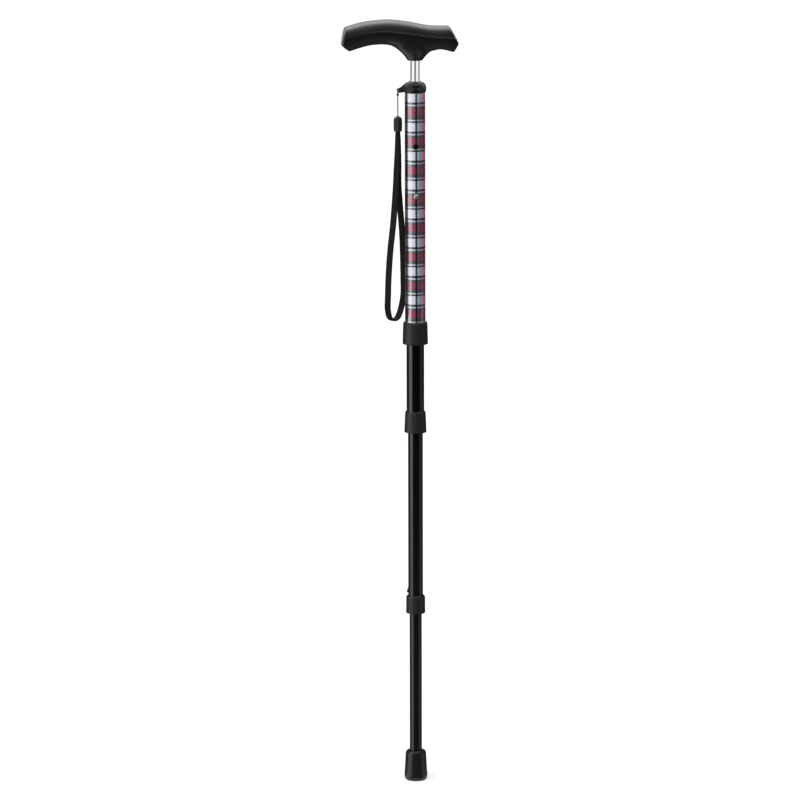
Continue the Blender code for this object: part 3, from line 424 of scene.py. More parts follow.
def group_of(name, inputs, outputs):
    """An empty node group with named float inputs (the first is a vector) and float outputs."""
    made = bpy.data.node_groups.new(name, "ShaderNodeTree")
    made.interface.new_socket("Place", in_out="INPUT", socket_type="NodeSocketVector")
    for name in inputs:
        made.interface.new_socket(name, in_out="INPUT", socket_type="NodeSocketFloat")
    for name in outputs:
        made.interface.new_socket(name, in_out="OUTPUT", socket_type="NodeSocketFloat")
    return made, add(made, "NodeGroupInput").outputs, add(made, "NodeGroupOutput").inputs


def use(tree, group, inputs):
    return add(tree, "ShaderNodeGroup", inputs, node_tree=group).outputs


def place_of(tree):
    return add(tree, "ShaderNodeTexCoord").outputs["Object"]


def bump(tree, shader, height, depth):
    """Relief on a shader from a height between 0 and 1, depth metres deep."""
    made = add(tree, "ShaderNodeBump", {"Height": height, "Distance": depth})
    tree.links.new(made.outputs["Normal"], shader.inputs["Normal"])


def coloured(tree, share, first, second, **settings):
    """A colour that runs from first to second as share goes from 0 to 1."""
    first, second = (end if isinstance(end, bpy.types.NodeSocket) else (*end, 1)
                     for end in (first, second))
    return add(tree, "ShaderNodeMix", {0: share, 6: first, 7: second}, data_type="RGBA",
               **settings).outputs[2]


def base(tree, shader, colour):
    tree.links.new(colour, shader.inputs["Base Color"])


def noise(tree, place, scale, **inputs):
    return add(tree, "ShaderNodeTexNoise", {"Vector": place, "Scale": scale, **inputs}).outputs[0]


# Loose fibres: a fuzz of fine noise, lighter on the crowns of the yarns
fibres, given, result = group_of("yarn_fibres", ["Scale"], ["Height", "Tone"])
fuzz = noise(fibres, given["Place"], given["Scale"], Detail=5.0, Roughness=0.7)
clumps = noise(fibres, given["Place"], 300.0)
fibres.links.new(fuzz, result["Height"])
fibres.links.new(sums(fibres, "MULTIPLY", fuzz, clumps), result["Tone"])


def yarn_of(name, dark, light, rough, specular, scale, depth):
    """Spun black yarn: two tones among its fibres, and their relief."""
    made, tree, shader = finish_of(name, STRAP_BLACK, rough, Specular_IOR_Level=specular)
    yarn = use(tree, fibres, {"Place": place_of(tree), "Scale": scale})
    base(tree, shader, coloured(tree, yarn["Tone"], dark, light))
    bump(tree, shader, yarn["Height"], depth)
    return made


cord_black = yarn_of("cord_black", STRAP_BLACK, STRAP_GREY, 0.75, 0.2, 9000.0, 0.00006)


def cord_route():
    """The cord's middle line from the bead's top through the ear and back: a half circle over
    the ear's edge, strands that draw in to the crimp, then straight runs down."""
    loop = CORD_LOOP_RADIUS
    centre = CORD_LOOP_RISE - loop
    top = CRIMP_HEIGHT / 2 - CRIMP_DROP
    foot = -CRIMP_HEIGHT / 2 - CRIMP_DROP
    run = [(CORD_SPREAD, z) for z in np.linspace(-BEAD_DROP, foot, 5)]
    run += [(CORD_SPREAD, top)]
    run += [((CORD_SPREAD + loop) / 2, (top + centre) / 2 - CORD_D / 5)]
    run += arc((0, centre), (loop, loop), *LOOP_ARC, 5).tolist()
    line = run + [(0.0, centre + loop)] + [(-y, z) for y, z in run[::-1]]
    return EAR + np.array([(0.0, y, z) for y, z in line])


line = smooth_line(cord_route(), CORD_RINGS)
ahead = unit(np.gradient(line, axis=0))
side = np.tile([1.0, 0.0, 0.0], (len(line), 1))
out = unit(np.cross(ahead, side))
run = run_along(line)
# Two plies: the radius swells twice round the cord, and the swelling turns as it goes along
twist = 2 * math.pi * run[:, None] / CORD_TWIST
swell = CORD_D / 2 * (PLY_MEAN + PLY_SWELL * np.cos(2 * (turns(CORD_SIDES) - twist)))
section = swell[..., None] * circle(CORD_SIDES)
cord = skin("cord", carried(line, side, out, section), cord_black, ends=True)
dress(cord, "strap", "woven_strap", "strap_cord")
tuple(line[0])
[tuple(p) for p in line]


# ---- Crimp ---------------------------------------------------------------------------------
# A small swollen sleeve of black moulded nylon on the doubled cord, just below the ear. The two
# strands run through its oval bore.
CRIMP_WALL = 0.0006
CRIMP_SWELL_SHARE = 0.55
CORD_PLAY = 0.0003
PATCH_RANGE = (0.3, 0.7)


def oval(half_x, half_y, turn=0.0, count=72):
    """Points round an ellipse that is turned about Z."""
    x, y = (circle(count) * (half_x, half_y)).T
    c, s = math.cos(turn), math.sin(turn)
    return np.stack([c * x - s * y, s * x + c * y], axis=1)


def stacked(rings, heights):
    """Flat rings of points, one for each height, as a grid."""
    rings = np.array(rings)
    z = np.broadcast_to(np.array(heights, float)[:, None, None], (*rings.shape[:2], 1))
    return np.concatenate([rings, z], axis=2)


# Moulded grain: a fine even roughness, and a slow drift in tone from the melt's flow
grain, given, result = group_of("moulded_grain", ["Scale", "Drift"], ["Height", "Tone"])
pits = noise(grain, given["Place"], given["Scale"], Detail=3.0, Roughness=0.6)
cells = add(grain, "ShaderNodeTexVoronoi", {"Vector": given["Place"], "Scale": given["Scale"]},
            feature="SMOOTH_F1").outputs[0]
flow = noise(grain, given["Place"], given["Drift"], Detail=2.0)
grain.links.new(sums(grain, "MULTIPLY_ADD", pits, cells, pits), result["Height"])
grain.links.new(flow, result["Tone"])

# Handling: soft patches where a surface has been rubbed smoother or dulled
rubbed, given, result = group_of("rubbed_patches", ["Scale", "Least", "Most"], ["Roughness"])
patches = noise(rubbed, given["Place"], given["Scale"], Detail=6.0, Roughness=0.65)
rubbed.links.new(ranged(rubbed, patches, *PATCH_RANGE, given["Least"], given["Most"]),
                 result["Roughness"])


def patchy(tree, place, scale, rough):
    """A roughness in rubbed patches, from the least to the most."""
    return use(tree, rubbed, {"Place": place, "Scale": scale, "Least": rough[0],
                              "Most": rough[1]})["Roughness"]


def moulded(name, dark, light, rough, scale, depth, drift=60.0, patches=None, **sockets):
    """A moulded plastic or rubber: two near tones that drift, a fine grain and rubbed patches."""
    made, tree, shader = finish_of(name, dark, rough[0], **sockets)
    place = place_of(tree)
    face = use(tree, grain, {"Place": place, "Scale": scale, "Drift": drift})
    base(tree, shader, coloured(tree, face["Tone"], dark, light))
    tree.links.new(patchy(tree, place, patches or drift * 2, rough), shader.inputs["Roughness"])
    bump(tree, shader, face["Height"], depth)
    return made


fitting_black = moulded("fitting_black", (0.004, 0.004, 0.0045), (0.009, 0.009, 0.010),
                        (0.30, 0.42), 2600.0, 0.00002)

bore_x = CORD_D / 2 + CORD_PLAY
bore_y = CORD_SPREAD + CORD_D / 2 + CORD_PLAY
level = np.linspace(-0.5, 0.5, 17)
wall = CRIMP_WALL * (1 - CRIMP_SWELL_SHARE + CRIMP_SWELL_SHARE * np.cos(math.pi * level))
outside = [oval(bore_x + w, bore_y + w) for w in wall]
inside = [oval(bore_x, bore_y)] * 3
heights = np.r_[level, [0.5, 0.0, -0.5]] * CRIMP_HEIGHT - CRIMP_DROP
crimp = skin("crimp", EAR + stacked(outside + inside, heights), fitting_black, along=True)
dress(crimp, "strap", "strap_fittings", "strap_crimp")


# ---- Bead ----------------------------------------------------------------------------------
# A moulded nylon bead, bullet-shaped with ten ribs down it. The cord's ends come in through its
# top, and the band's two ends are glued in its mouth.
BEAD_HEIGHT = 0.0163
BEAD_D = 0.0094
BEAD_RIBS = 10
BEAD_RIB_DEPTH = 0.00045
BAND_TURN = math.radians(50)
BEAD_MOUTH = (0.0021, 0.0031)
BEAD_MOUTH_DEEP = 0.0043
BEAD_TOP_DEEP = 0.003
BEAD_LIP = 0.0004
BEAD_SIDES = 240
RIB_FADE_FOOT = 0.08
RIB_FADE_TOP = 0.2
RIBS_END = 1.02
# From the foot up, as (share of the height, share of the radius)
BEAD_SHAPE = (
    (0.00, 0.80), (0.015, 0.90), (0.06, 0.95), (0.35, 1.00), (0.70, 0.99),
    (0.82, 0.92), (0.91, 0.76), (0.97, 0.52), (1.00, 0.30),
)

BEAD_FOOT = EAR[2] - BEAD_DROP + CORD_PLAY - BEAD_HEIGHT
shape = smooth_line(BEAD_SHAPE, 64)
# Ribs stand between narrow dips that fade out at both ends
fade = np.minimum(shape[:, 0] / RIB_FADE_FOOT, (RIBS_END - shape[:, 0]) / RIB_FADE_TOP)
fade = np.clip(fade, 0, 1)[:, None]
dips = BEAD_RIB_DEPTH * fade * (0.5 + 0.5 * np.cos(BEAD_RIBS * turns(BEAD_SIDES))) ** 2
radius = BEAD_D / 2 * shape[:, 1:] - dips
wall = radius[..., None] * circle(BEAD_SIDES)
mouth = oval(*BEAD_MOUTH, turn=BAND_TURN, count=BEAD_SIDES)
throat = oval(bore_x, bore_y, count=BEAD_SIDES)
rings = [mouth * 0.01, mouth, mouth, mouth * 1.08, *wall,
         throat * 1.15, throat, throat, throat * 0.01]
heights = [BEAD_MOUTH_DEEP, BEAD_MOUTH_DEEP, BEAD_LIP, 0.0, *(shape[:, 0] * BEAD_HEIGHT),
           BEAD_HEIGHT, BEAD_HEIGHT - 0.0003, BEAD_HEIGHT - BEAD_TOP_DEEP,
           BEAD_HEIGHT - BEAD_TOP_DEEP]
bead_at = np.array([EAR[0], 0.0, BEAD_FOOT])
bead = skin("bead", bead_at + stacked(rings, heights), fitting_black, ends=True, sharp=50)
dress(bead, "strap", "strap_fittings", "strap_bead")


# ---- Wrist band ----------------------------------------------------------------------------
# A flat tubular braid of black polyester, both ends in the bead. It hangs as an open loop that
# is turned from the stick's plane and leans a little away from the tube.
BAND_WIDTH = 0.008
BAND_THICKNESS = 0.0022
BAND_END_WIDTH = 0.0054
BAND_END_THICKNESS = 0.0015
BAND_TAPER = 0.04
BAND_IN_BEAD = 0.004
BAND_DROP = 0.2033
STITCH_PITCH = 0.0022
STITCH_COLUMNS = 4
STITCH_RELIEF = 0.00022
STITCH_SLANT = 0.42
EDGE_RELIEF = 0.0002
BAND_RINGS = 1400
BAND_SIDES = 72
BAND_FULLNESS = (0.72, 0.62)
BRAID_DARK = (0.003, 0.003, 0.0033)
BRAID_LIGHT = (0.012, 0.012, 0.013)
# The right strand, as (drop below the bead, lean off the tube, half the loop's opening)
BAND_STRAND = (
    (0.0060, 0.0000, 0.00105), (0.0120, -0.0001, 0.0012), (0.0335, 0.0002, 0.0015),
    (0.0466, 0.0006, 0.0018), (0.0597, 0.0008, 0.0025), (0.0728, 0.0008, 0.0041),
    (0.0859, 0.0008, 0.0058), (0.0990, 0.0008, 0.0077), (0.1121, 0.0011, 0.0097),
    (0.1260, 0.0016, 0.0115), (0.1408, 0.0020, 0.0129), (0.1603, 0.0024, 0.0141),
    (0.1720, 0.0025, 0.0145), (0.1805, 0.0029, 0.0143), (0.1878, 0.0037, 0.0133),
    (0.1935, 0.0041, 0.0116), (0.1982, 0.0044, 0.0092), (0.2018, 0.0045, 0.0055),
)


def band_route():
    """The band's middle line in its own turned plane: down the right strand, round the bottom
    and up the left one."""
    inside = (BAND_END_THICKNESS + CORD_PLAY) / 2
    rows = np.array([(-BAND_IN_BEAD, 0.0, inside), (0.0, 0.0, inside), *BAND_STRAND])
    lean_x, lean_y = -rows[:, 1] * math.cos(BAND_TURN), rows[:, 1] * math.sin(BAND_TURN)
    right = np.stack([lean_x + rows[:, 2], lean_y, -rows[:, 0]], axis=1)
    left = np.stack([lean_x - rows[:, 2], lean_y, -rows[:, 0]], axis=1)
    return np.vstack([right, [(lean_x[-1], lean_y[-1], -BAND_DROP)], left[::-1]])


def turned_about_z(points, turn):
    c, s = math.cos(turn), math.sin(turn)
    return points @ np.array([[c, s, 0], [-s, c, 0], [0, 0, 1]])


line = smooth_line(band_route(), BAND_RINGS)
ahead = unit(np.gradient(line, axis=0))
flat = unit(ahead * [1, 0, 1])
out = np.stack([-flat[:, 2], np.zeros(len(line)), flat[:, 0]], axis=1)
side = np.tile([0.0, 1.0, 0.0], (len(line), 1))
run = run_along(line)
from_end = np.minimum(run, run[-1] - run) - BAND_IN_BEAD - CORD_PLAY
full = np.clip(from_end / BAND_TAPER, 0, 1)[:, None]
half_width = (BAND_END_WIDTH + (BAND_WIDTH - BAND_END_WIDTH) * full) / 2
half_depth = (BAND_END_THICKNESS + (BAND_THICKNESS - BAND_END_THICKNESS) * full) / 2
# A flattened oval section; the stitches are chevrons in columns, and swell its faces and edges
across, depth = (np.sign(round_by) * np.abs(round_by) ** fullness
                 for round_by, fullness in zip(circle(BAND_SIDES).T, BAND_FULLNESS))
column = (across + 1) / 2 * STITCH_COLUMNS
in_column = 2 * (column - np.floor(column)) - 1
slant = np.abs(in_column) * STITCH_SLANT + 0.5 * (np.floor(column) % 2)
beat = np.cos(2 * math.pi * (run[:, None] / STITCH_PITCH + slant + 0.25 * (depth < 0)))
stitch = (0.55 + 0.45 * beat) * np.sqrt(np.clip(1 - in_column**2, 0, 1))
edge = 0.5 + 0.5 * np.cos(2 * math.pi * run[:, None] / STITCH_PITCH)
u = across * (half_width - EDGE_RELIEF * (1 - edge) * np.abs(across) ** 3)
v = depth * (half_depth - STITCH_RELIEF * (1 - stitch))
section = np.stack([u, v], axis=-1)
band_at = np.array([EAR[0], 0.0, BEAD_FOOT])
grid = band_at + turned_about_z(carried(line, side, out, section), BAND_TURN)
centres = band_at + turned_about_z(line, BAND_TURN)

band_black = yarn_of("band_black", BRAID_DARK, BRAID_LIGHT, 0.8, 0.15, 6000.0, 0.00012)
band = skin("band", grid, band_black, ends=True, sharp=60)
dress(band, "strap", "woven_strap", "strap_band")
tuple(centres[0])
[tuple(p) for p in centres]


# ---- Grip ----------------------------------------------------------------------------------
# A T grip injection-moulded in hard black plastic with a soft-touch skin. Its crown overhangs
# the flanks along a crease, both ends are cut by two facets, and its neck flares from the post.
NECK_Z = 0.7863
GRIP_BACK = 0.0785
GRIP_FRONT = 0.0464
GRIP_HEIGHT = 0.0437
GRIP_WIDTH = 0.030
GRIP_END_WIDTH = 0.0265
GRIP_LEDGE = 0.0015
GRIP_LEDGE_DROP = 0.0009
GRIP_RIM = 0.00065
GRIP_RIM_HEIGHT = 0.0009
GRIP_EDGE_ROUND = 0.0022
POST_OD = 0.011
SEAT_GAP = 0.0003
POST_IN_GRIP = 0.0214
GRIP_BORE = POST_OD / 2 + SEAT_GAP
NECK_WALL = 0.00245
NECK_RADIUS = GRIP_BORE + NECK_WALL
NECK_ROUND = 0.0006
# Where the neck's flare ends: how far out to the back and to the front, and at each side how far
# up the flank (1 is the underside's middle)
NECK_REACH = (0.0270, 0.0190)
NECK_MEETS = 0.25
# How far the flare runs out for each unit of height at its foot: to the back, front and sides
NECK_RUN = (0.60, 0.95, 0.12)
# Powers that narrow the webs to the back and to the front
NECK_WEB = (4.0, 2.5)
NECK_SUNK = 0.00005
NECK_PULL = 0.85
NECK_LINES = 200
NECK_ROWS = 48
NECK_INSIDE = 0.003
POLE_SHARE = 0.02
FACET_SOFT = 0.0012
FLANK_POINTS = 40
FLANK_EASE = 1.3
LIP_POINTS = 10
ROLL_ROWS = 9
FACE_ROWS = 14
BAR_SECTIONS = {-1: 130, 1: 80}
SETTLE_PASSES = 12

# The side view as (share of the back or front length, share of the height)
GRIP_TOP = (
    (-1.10, 0.805), (-0.95, 0.831), (-0.70, 0.947), (-0.38, 1.0),
    (-0.10, 0.950), (0.25, 0.863), (0.60, 0.838), (1.20, 0.851),
)
GRIP_UNDERSIDE = (
    (-1.10, 0.133), (-0.90, 0.224), (-0.76, 0.304), (-0.60, 0.375),
    (-0.42, 0.391), (-0.30, 0.350), (-0.12, 0.229), (0.15, 0.195),
    (0.40, 0.224), (0.60, 0.256), (0.90, 0.183), (1.20, 0.092),
)
GRIP_CREASE = (
    (-1.10, 0.530), (-0.90, 0.612), (-0.74, 0.668), (-0.62, 0.698), (-0.50, 0.719),
    (-0.40, 0.721), (-0.30, 0.706), (-0.20, 0.687), (-0.09, 0.662), (0.03, 0.634),
    (0.21, 0.602), (0.40, 0.581), (0.60, 0.557), (0.85, 0.541), (1.20, 0.530),
)
GRIP_PLAN = (
    (-1.10, -0.20), (-0.95, 0.0), (-0.40, 1.0), (0.20, 0.85), (0.90, 0.0), (1.20, -0.15),
)
GRIP_LEDGE_FADE = (-0.78, -0.45)
BACK_END = ((-0.905, 0.224), (-1.0, 0.389), (-0.955, 0.831))
FRONT_END = ((0.91, 0.178), (1.0, 0.412), (0.79, 0.842))
CROWN_FULLNESS = (0.75, 0.9)
FLANK_FULLNESS = (0.7, 0.9)
FLANK_LEAN_SHARE = 0.40


def grip_points(shares):
    """Places in the grip's side view from shares of its lengths and its height."""
    shares = np.array(shares, float)
    length = np.where(shares[:, 0] < 0, GRIP_BACK, GRIP_FRONT)
    return np.stack([shares[:, 0] * length, shares[:, 1] * GRIP_HEIGHT], axis=1)


def curve_of(points):
    """A smooth height (or width) at any x, through the given points."""
    line = smooth_line(points, 900)
    return lambda x: np.interp(x, line[:, 0], line[:, 1])


top_of = curve_of(grip_points(GRIP_TOP))
under_of = curve_of(grip_points(GRIP_UNDERSIDE))
crease_of = curve_of(grip_points(GRIP_CREASE))
plan = np.array(GRIP_PLAN)
plan[:, 0] = grip_points(GRIP_PLAN)[:, 0]
share_of = curve_of(plan)
fade_from, fade_to = (s * GRIP_BACK for s in GRIP_LEDGE_FADE)


def half_width_of(x):
    return (GRIP_END_WIDTH + (GRIP_WIDTH - GRIP_END_WIDTH) * share_of(x)) / 2


def ledge_share(x):
    """How much of the ledge there is at x: it fades out towards the back end."""
    share = np.interp(x, (fade_from, fade_to), (0, 1))
    return share * share * (3 - 2 * share)


def end_line(corners, sign):
    """How far out an end's two facets stand at each height, with their ridge rounded."""
    (x0, z0), (x1, z1), (x2, z2) = grip_points(corners)

    def out_at(z):
        low = x1 + (z - z1) * (x0 - x1) / (z0 - z1)
        high = x1 + (z - z1) * (x2 - x1) / (z2 - z1)
        nearer = np.clip(0.5 + (low - high) * sign / (2 * FACET_SOFT), 0, 1)
        return low + (high - low) * nearer - sign * FACET_SOFT * nearer * (1 - nearer)

    return out_at


def flank(x, lift):
    """Below the crease: (W cos a^p (1 - lean sin a), H sin a^q), down to the underside."""
    a = lift * math.pi / 2
    c, s = np.clip(np.cos(a), 0, 1), np.clip(np.sin(a), 0, 1)
    lower = crease_of(x) - GRIP_LEDGE_DROP
    wide = half_width_of(x) - GRIP_LEDGE * ledge_share(x)
    return (wide * c ** FLANK_FULLNESS[0] * (1 - FLANK_LEAN_SHARE * s),
            lower - (lower - under_of(x)) * s ** FLANK_FULLNESS[1])


def grip_section(x, part, lift):
    """The grip's outline at x. Where part is 1 the crown swells from the crease to the top as
    (W cos a^p, H sin a^q) with a rim R exp(-(h / r)^2) at its foot, and where it is 0 lies the
    flank. Between them the crown's lip rolls under in a quarter round: out as sin, up as 1 - cos.
    lift runs from 0 at the crease to 1 at the middle line."""
    level = crease_of(x)
    a = lift * math.pi / 2
    c, s = np.clip(np.cos(a), 0, 1), np.clip(np.sin(a), 0, 1)
    crown_y = half_width_of(x) * c ** CROWN_FULLNESS[0]
    crown_z = level + (top_of(x) - level) * s ** CROWN_FULLNESS[1]
    rim = np.exp(-(((crown_z - level) / GRIP_RIM_HEIGHT) ** 2))
    crown_y = crown_y + (rim - 1) * GRIP_RIM * ledge_share(x) * c
    flank_y, flank_z = flank(x, lift)
    roll = part * math.pi / 2
    return (flank_y + (crown_y - flank_y) * np.sin(roll),
            flank_z + (crown_z - flank_z) * (1 - np.cos(roll)))


# Round the section: right flank up, ledge, right crown, and the same down the left side
ease = np.linspace(0, 1, FLANK_POINTS) ** FLANK_EASE
part = np.r_[np.zeros(FLANK_POINTS), np.linspace(0, 1, LIP_POINTS)[1:-1], np.ones(FLANK_POINTS)]
lift = np.r_[ease[::-1], np.zeros(LIP_POINTS - 2), ease]
mirror = np.r_[np.ones(len(part)), -np.ones(len(part) - 2)]
part = np.r_[part, part[-2:0:-1]]
lift = np.r_[lift, lift[-2:0:-1]]

# Along the bar: t runs from 0 at the neck to 1 at an end, where each section lies in the facets
ends = []
for sign, corners in ((-1, BACK_END), (1, FRONT_END)):
    out_at = end_line(corners, sign)
    tip = out_at(grip_points(corners)[1, 1])
    t = np.linspace(0, 1, BAR_SECTIONS[sign])[:, None]
    x = tip * t * np.ones_like(part)
    for _ in range(SETTLE_PASSES):
        y, z = grip_section(x, part, lift)
        x = out_at(z) * t
    bar = np.stack([x, y * mirror, z], axis=-1)
    rim = bar[-1]
    heart = np.array([0.0, 0.0, rim[:, 2].mean()])
    heart[0] = out_at(heart[2])
    reach = np.linalg.norm(rim - heart, axis=1, keepdims=True)
    turn = np.radians(np.linspace(0, 90, ROLL_ROWS))[:, None, None]
    # The rim rolls over: inward by R (1 - cos a) while the last R of the bar is used up
    back_off = unit(rim - bar[-8])
    rolled = (rim - back_off * GRIP_EDGE_ROUND * (1 - np.sin(turn))
              + (heart - rim) / reach * GRIP_EDGE_ROUND * (1 - np.cos(turn)))
    keep = int(np.sum(t[:, 0] * abs(tip) < abs(tip) - GRIP_EDGE_ROUND))
    shrink = np.linspace(1, 0, FACE_ROWS)[1:, None, None]
    face = heart + (rolled[-1] - heart) * shrink
    face[..., 0] = out_at(face[..., 2])
    ends.append(np.concatenate([bar[1:keep], rolled, face]))
middle_y, middle_z = grip_section(np.zeros_like(part), part, lift)
middle = np.stack([np.zeros_like(part), middle_y * mirror, middle_z], axis=-1)[None]
bar = np.concatenate([ends[0][::-1], middle, ends[1]])


def flare_end(share, c, s):
    """The neck's upper edge on the flank: an oval in the flank's own (x, lift), with share 1 on
    it and less inside."""
    x = share * np.where(c < 0, NECK_REACH[0], NECK_REACH[1]) * c * np.abs(c) ** 0.5
    lift = 1 - (1 - NECK_MEETS) * share * np.abs(s) ** 1.4
    y, z = flank(x, lift)
    return np.stack([x, y * np.sign(s), z], axis=1)


# The neck: each line starts at the neck's foot, already leaning out, and ends along the flank
# where it meets it: a cubic through both places with both directions
c, s = circle(NECK_LINES).T
foot = np.stack([NECK_RADIUS * c, NECK_RADIUS * s, np.full(NECK_LINES, NECK_ROUND)], axis=1)
head = flare_end(1.0, c, s)
slope = unit(flare_end(1.02, c, s) - flare_end(0.98, c, s))
inward = unit(np.stack([0 * head[:, 0], -head[:, 1], crease_of(head[:, 0]) - head[:, 2]], axis=1))
head += inward * NECK_SUNK
web = np.abs(c) ** np.where(c < 0, *NECK_WEB)
run_out = np.where(c < 0, NECK_RUN[0], NECK_RUN[1]) * web + NECK_RUN[2] * (1 - web)
rise = unit(np.stack([run_out * c, run_out * s, np.ones(NECK_LINES)], axis=1))
span = np.linalg.norm(head - foot, axis=1, keepdims=True) * NECK_PULL
t = np.linspace(0, 1, NECK_ROWS)[:, None, None]
wall = ((2 * t**3 - 3 * t**2 + 1) * foot + (t**3 - 2 * t**2 + t) * rise * span
        + (3 * t**2 - 2 * t**3) * head + (t**3 - t**2) * slope * span)
inside = head + inward * NECK_INSIDE
a = np.radians(np.linspace(0, 90, 6))
tuck = NECK_ROUND * (1 - np.cos(a))
rolls = foot * (1 - tuck / NECK_RADIUS)[::-1, None, None]
rolls[..., 2] = (NECK_ROUND - NECK_ROUND * np.sin(a))[::-1, None]
centre_foot = rolls[:1] * [POLE_SHARE, POLE_SHARE, 1]
inner_top = inside * [POLE_SHARE, POLE_SHARE, 0] + [0, 0, GRIP_HEIGHT * 0.6]
neck = np.concatenate([centre_foot, rolls[:-1], wall, inside[None], inner_top[None]])


def carve(obj, tools, operation="DIFFERENCE"):
    """Cuts or joins other meshes, which are then removed, and keeps the result as the mesh."""
    for tool in tools:
        change = obj.modifiers.new(tool.name, "BOOLEAN")
        change.operation = operation
        change.solver = "EXACT"
        change.object = tool
    graph = bpy.context.evaluated_depsgraph_get()
    mesh = bpy.data.meshes.new_from_object(obj.evaluated_get(graph))
    old = obj.data
    obj.modifiers.clear()
    obj.data = mesh
    mesh.name = obj.name
    bpy.data.meshes.remove(old)
    for tool in tools:
        bpy.data.objects.remove(tool, do_unlink=True)
    return obj


def spun(profile, count=144):
    """A profile of (radius, height) points turned about Z: (r cos a, r sin a, z)."""
    profile = np.array(profile, float)
    return stacked(profile[:, :1, None] * circle(count), profile[:, 1])


grip_black = moulded("soft_touch_black", (0.0042, 0.0042, 0.0047), (0.0072, 0.0072, 0.0078),
                     (0.28, 0.36), 3200.0, 0.000012, drift=25.0)
up = np.array([0.0, 0.0, NECK_Z])
grip = skin("grip", up + bar, grip_black)
carve(grip, [skin("neck", up + neck, grip_black)], "UNION")
bevel, below, end = 0.0004, -0.002, POST_IN_GRIP + SEAT_GAP
socket = [(0.0, below), (GRIP_BORE + bevel, below), (GRIP_BORE + bevel, 0.0),
          (GRIP_BORE, bevel), (GRIP_BORE, end), (0.0, end)]
carve(grip, [skin("socket", up + spun(socket, 96), grip_black)])
shade(grip, 30)
dress(grip, "handle", "soft_touch_grip", "handle_grip")


# ---- Post ----------------------------------------------------------------------------------
# A thin steel tube, bright chrome-plated, pressed into the grip. Its foot carries the guide
# bush with a cross pin, and it has a hole for the snap button.
POST_WALL = 0.001
POST_FOOT = 0.6313
BUTTON_Z = 0.6418
BUTTON_D = 0.0049
SLOT_GAP = 0.0003
BUSH_PIN_D = 0.0025
BUSH_PIN_Z = 0.6625
TOOL_SIDES = 64
# A rounded corner takes at most this share of its shorter side, and its guard points lie this
# share of its radius before and behind it
CORNER_SHARE = 0.36
GUARD_SHARE = 0.3


def rounded(corners, radii, steps=5):
    """A closed outline whose corners are parabolas: each starts and ends its radius away from
    the corner. A straight run keeps a point just before each corner, which holds its shading."""
    p = np.array(corners, float)
    radii = np.broadcast_to(np.array(radii, float), len(p))
    before, after = np.roll(p, 1, axis=0) - p, np.roll(p, -1, axis=0) - p
    length_before = np.linalg.norm(before, axis=1, keepdims=True)
    length_after = np.linalg.norm(after, axis=1, keepdims=True)
    cut = np.minimum(radii[:, None], CORNER_SHARE * np.minimum(length_before, length_after))
    start, end = p + before / length_before * cut, p + after / length_after * cut
    t = np.linspace(0, 1, steps + 1)[:, None, None]
    curve = (1 - t) ** 2 * start + 2 * t * (1 - t) * p + t**2 * end
    guarded = np.concatenate([start[None] + GUARD_SHARE * (start - p), curve,
                              end[None] + GUARD_SHARE * (end - p)])
    return guarded.transpose(1, 0, 2).reshape(-1, 2)


def rounded_box(x, z, radius, steps):
    """A rectangle's rounded outline, from its two x and its two z."""
    return rounded([(x[0], z[0]), (x[1], z[0]), (x[1], z[1]), (x[0], z[1])], radius, steps)


def tube_outline(outer, wall, foot, top, edge=0.00015, rows=12):
    """A tube's wall with broken edges, as a closed outline with extra rows up its faces."""
    line = rounded_box((outer - wall, outer), (foot, top), edge, 3)
    line = np.vstack([line, line[:1]])
    dense = [line[:1]]
    for a, b in zip(line, line[1:]):
        count = rows if abs(b[1] - a[1]) > 0.01 else 1
        dense.append(a + (b - a) * np.linspace(0, 1, count + 1)[1:, None])
    return np.vstack(dense)[:-1]


def levelled(stations, outline, height, turn):
    """A level bar through the stick's axis, turned about Z: an outline of (across, up) points at
    each station out. outline is one for all stations or one for each."""
    outline = np.broadcast_to(outline, (len(stations), *outline.shape[-2:]))
    out = np.broadcast_to(np.array(stations)[:, None, None], (*outline.shape[:2], 1))
    return turned_about_z(np.concatenate([out, outline], axis=2), turn) + [0, 0, height]


def bar_tool(name, radii, stations, height, turn):
    """A round cutter lying level through the stick's axis: its radius at each station out."""
    rings = np.array(radii)[:, None, None] * circle(TOOL_SIDES)
    return skin(name, levelled(stations, rings, height, turn), ends=True)


FRONT, BACK, LEFT = -math.pi / 2, math.pi / 2, math.pi
# Below this height the post is painted matt black: painted shade for the inside of the tube's
# upper hole
HOLE_SHADE_TOP = 0.6982
CHROME_TINT = (0.78, 0.79, 0.81)
# The painted shade's colour, seen through the tartan tube's upper hole
HOLE_SHADE_BLACK = (0.006, 0.006, 0.006)

# Wiped metal: faint smears that dull the gloss here and there. The post's lower part stays in the
# tartan tube at every height.
# Below that height it is painted matt black as shade, which keeps the tube's upper hole dark like
# the shadow inside the tube
chrome, tree, shader = finish_of("chrome_plate", CHROME_TINT, 0.05)
place = place_of(tree)
height = add(tree, "ShaderNodeSeparateXYZ", {0: place}).outputs["Z"]
# 0 in the painted shade below, 1 on the chrome above
above_hole_shade = ranged(tree, height, HOLE_SHADE_TOP, HOLE_SHADE_TOP + 0.0004)
base(tree, shader, coloured(tree, above_hole_shade, HOLE_SHADE_BLACK, CHROME_TINT))
tree.links.new(above_hole_shade, shader.inputs["Metallic"])
smears = patchy(tree, place, 90.0, (0.04, 0.12))
tree.links.new(between(tree, above_hole_shade, 0.6, smears), shader.inputs["Roughness"])

outline = tube_outline(POST_OD / 2, POST_WALL, POST_FOOT, NECK_Z + POST_IN_GRIP)
post = skin("chrome_post", spun(outline), chrome, along=True)
button_way = BUTTON_D / 2 + SLOT_GAP
pin_way = BUSH_PIN_D / 2 + SLOT_GAP
carve(post, [
    bar_tool("button_way", [button_way] * 2, [0.003, 0.008], BUTTON_Z, FRONT),
    bar_tool("pin_way", [pin_way] * 2, [-0.008, 0.008], BUSH_PIN_Z, 0.0),
])
shade(post)
dress(post, "handle", "chrome", "post")


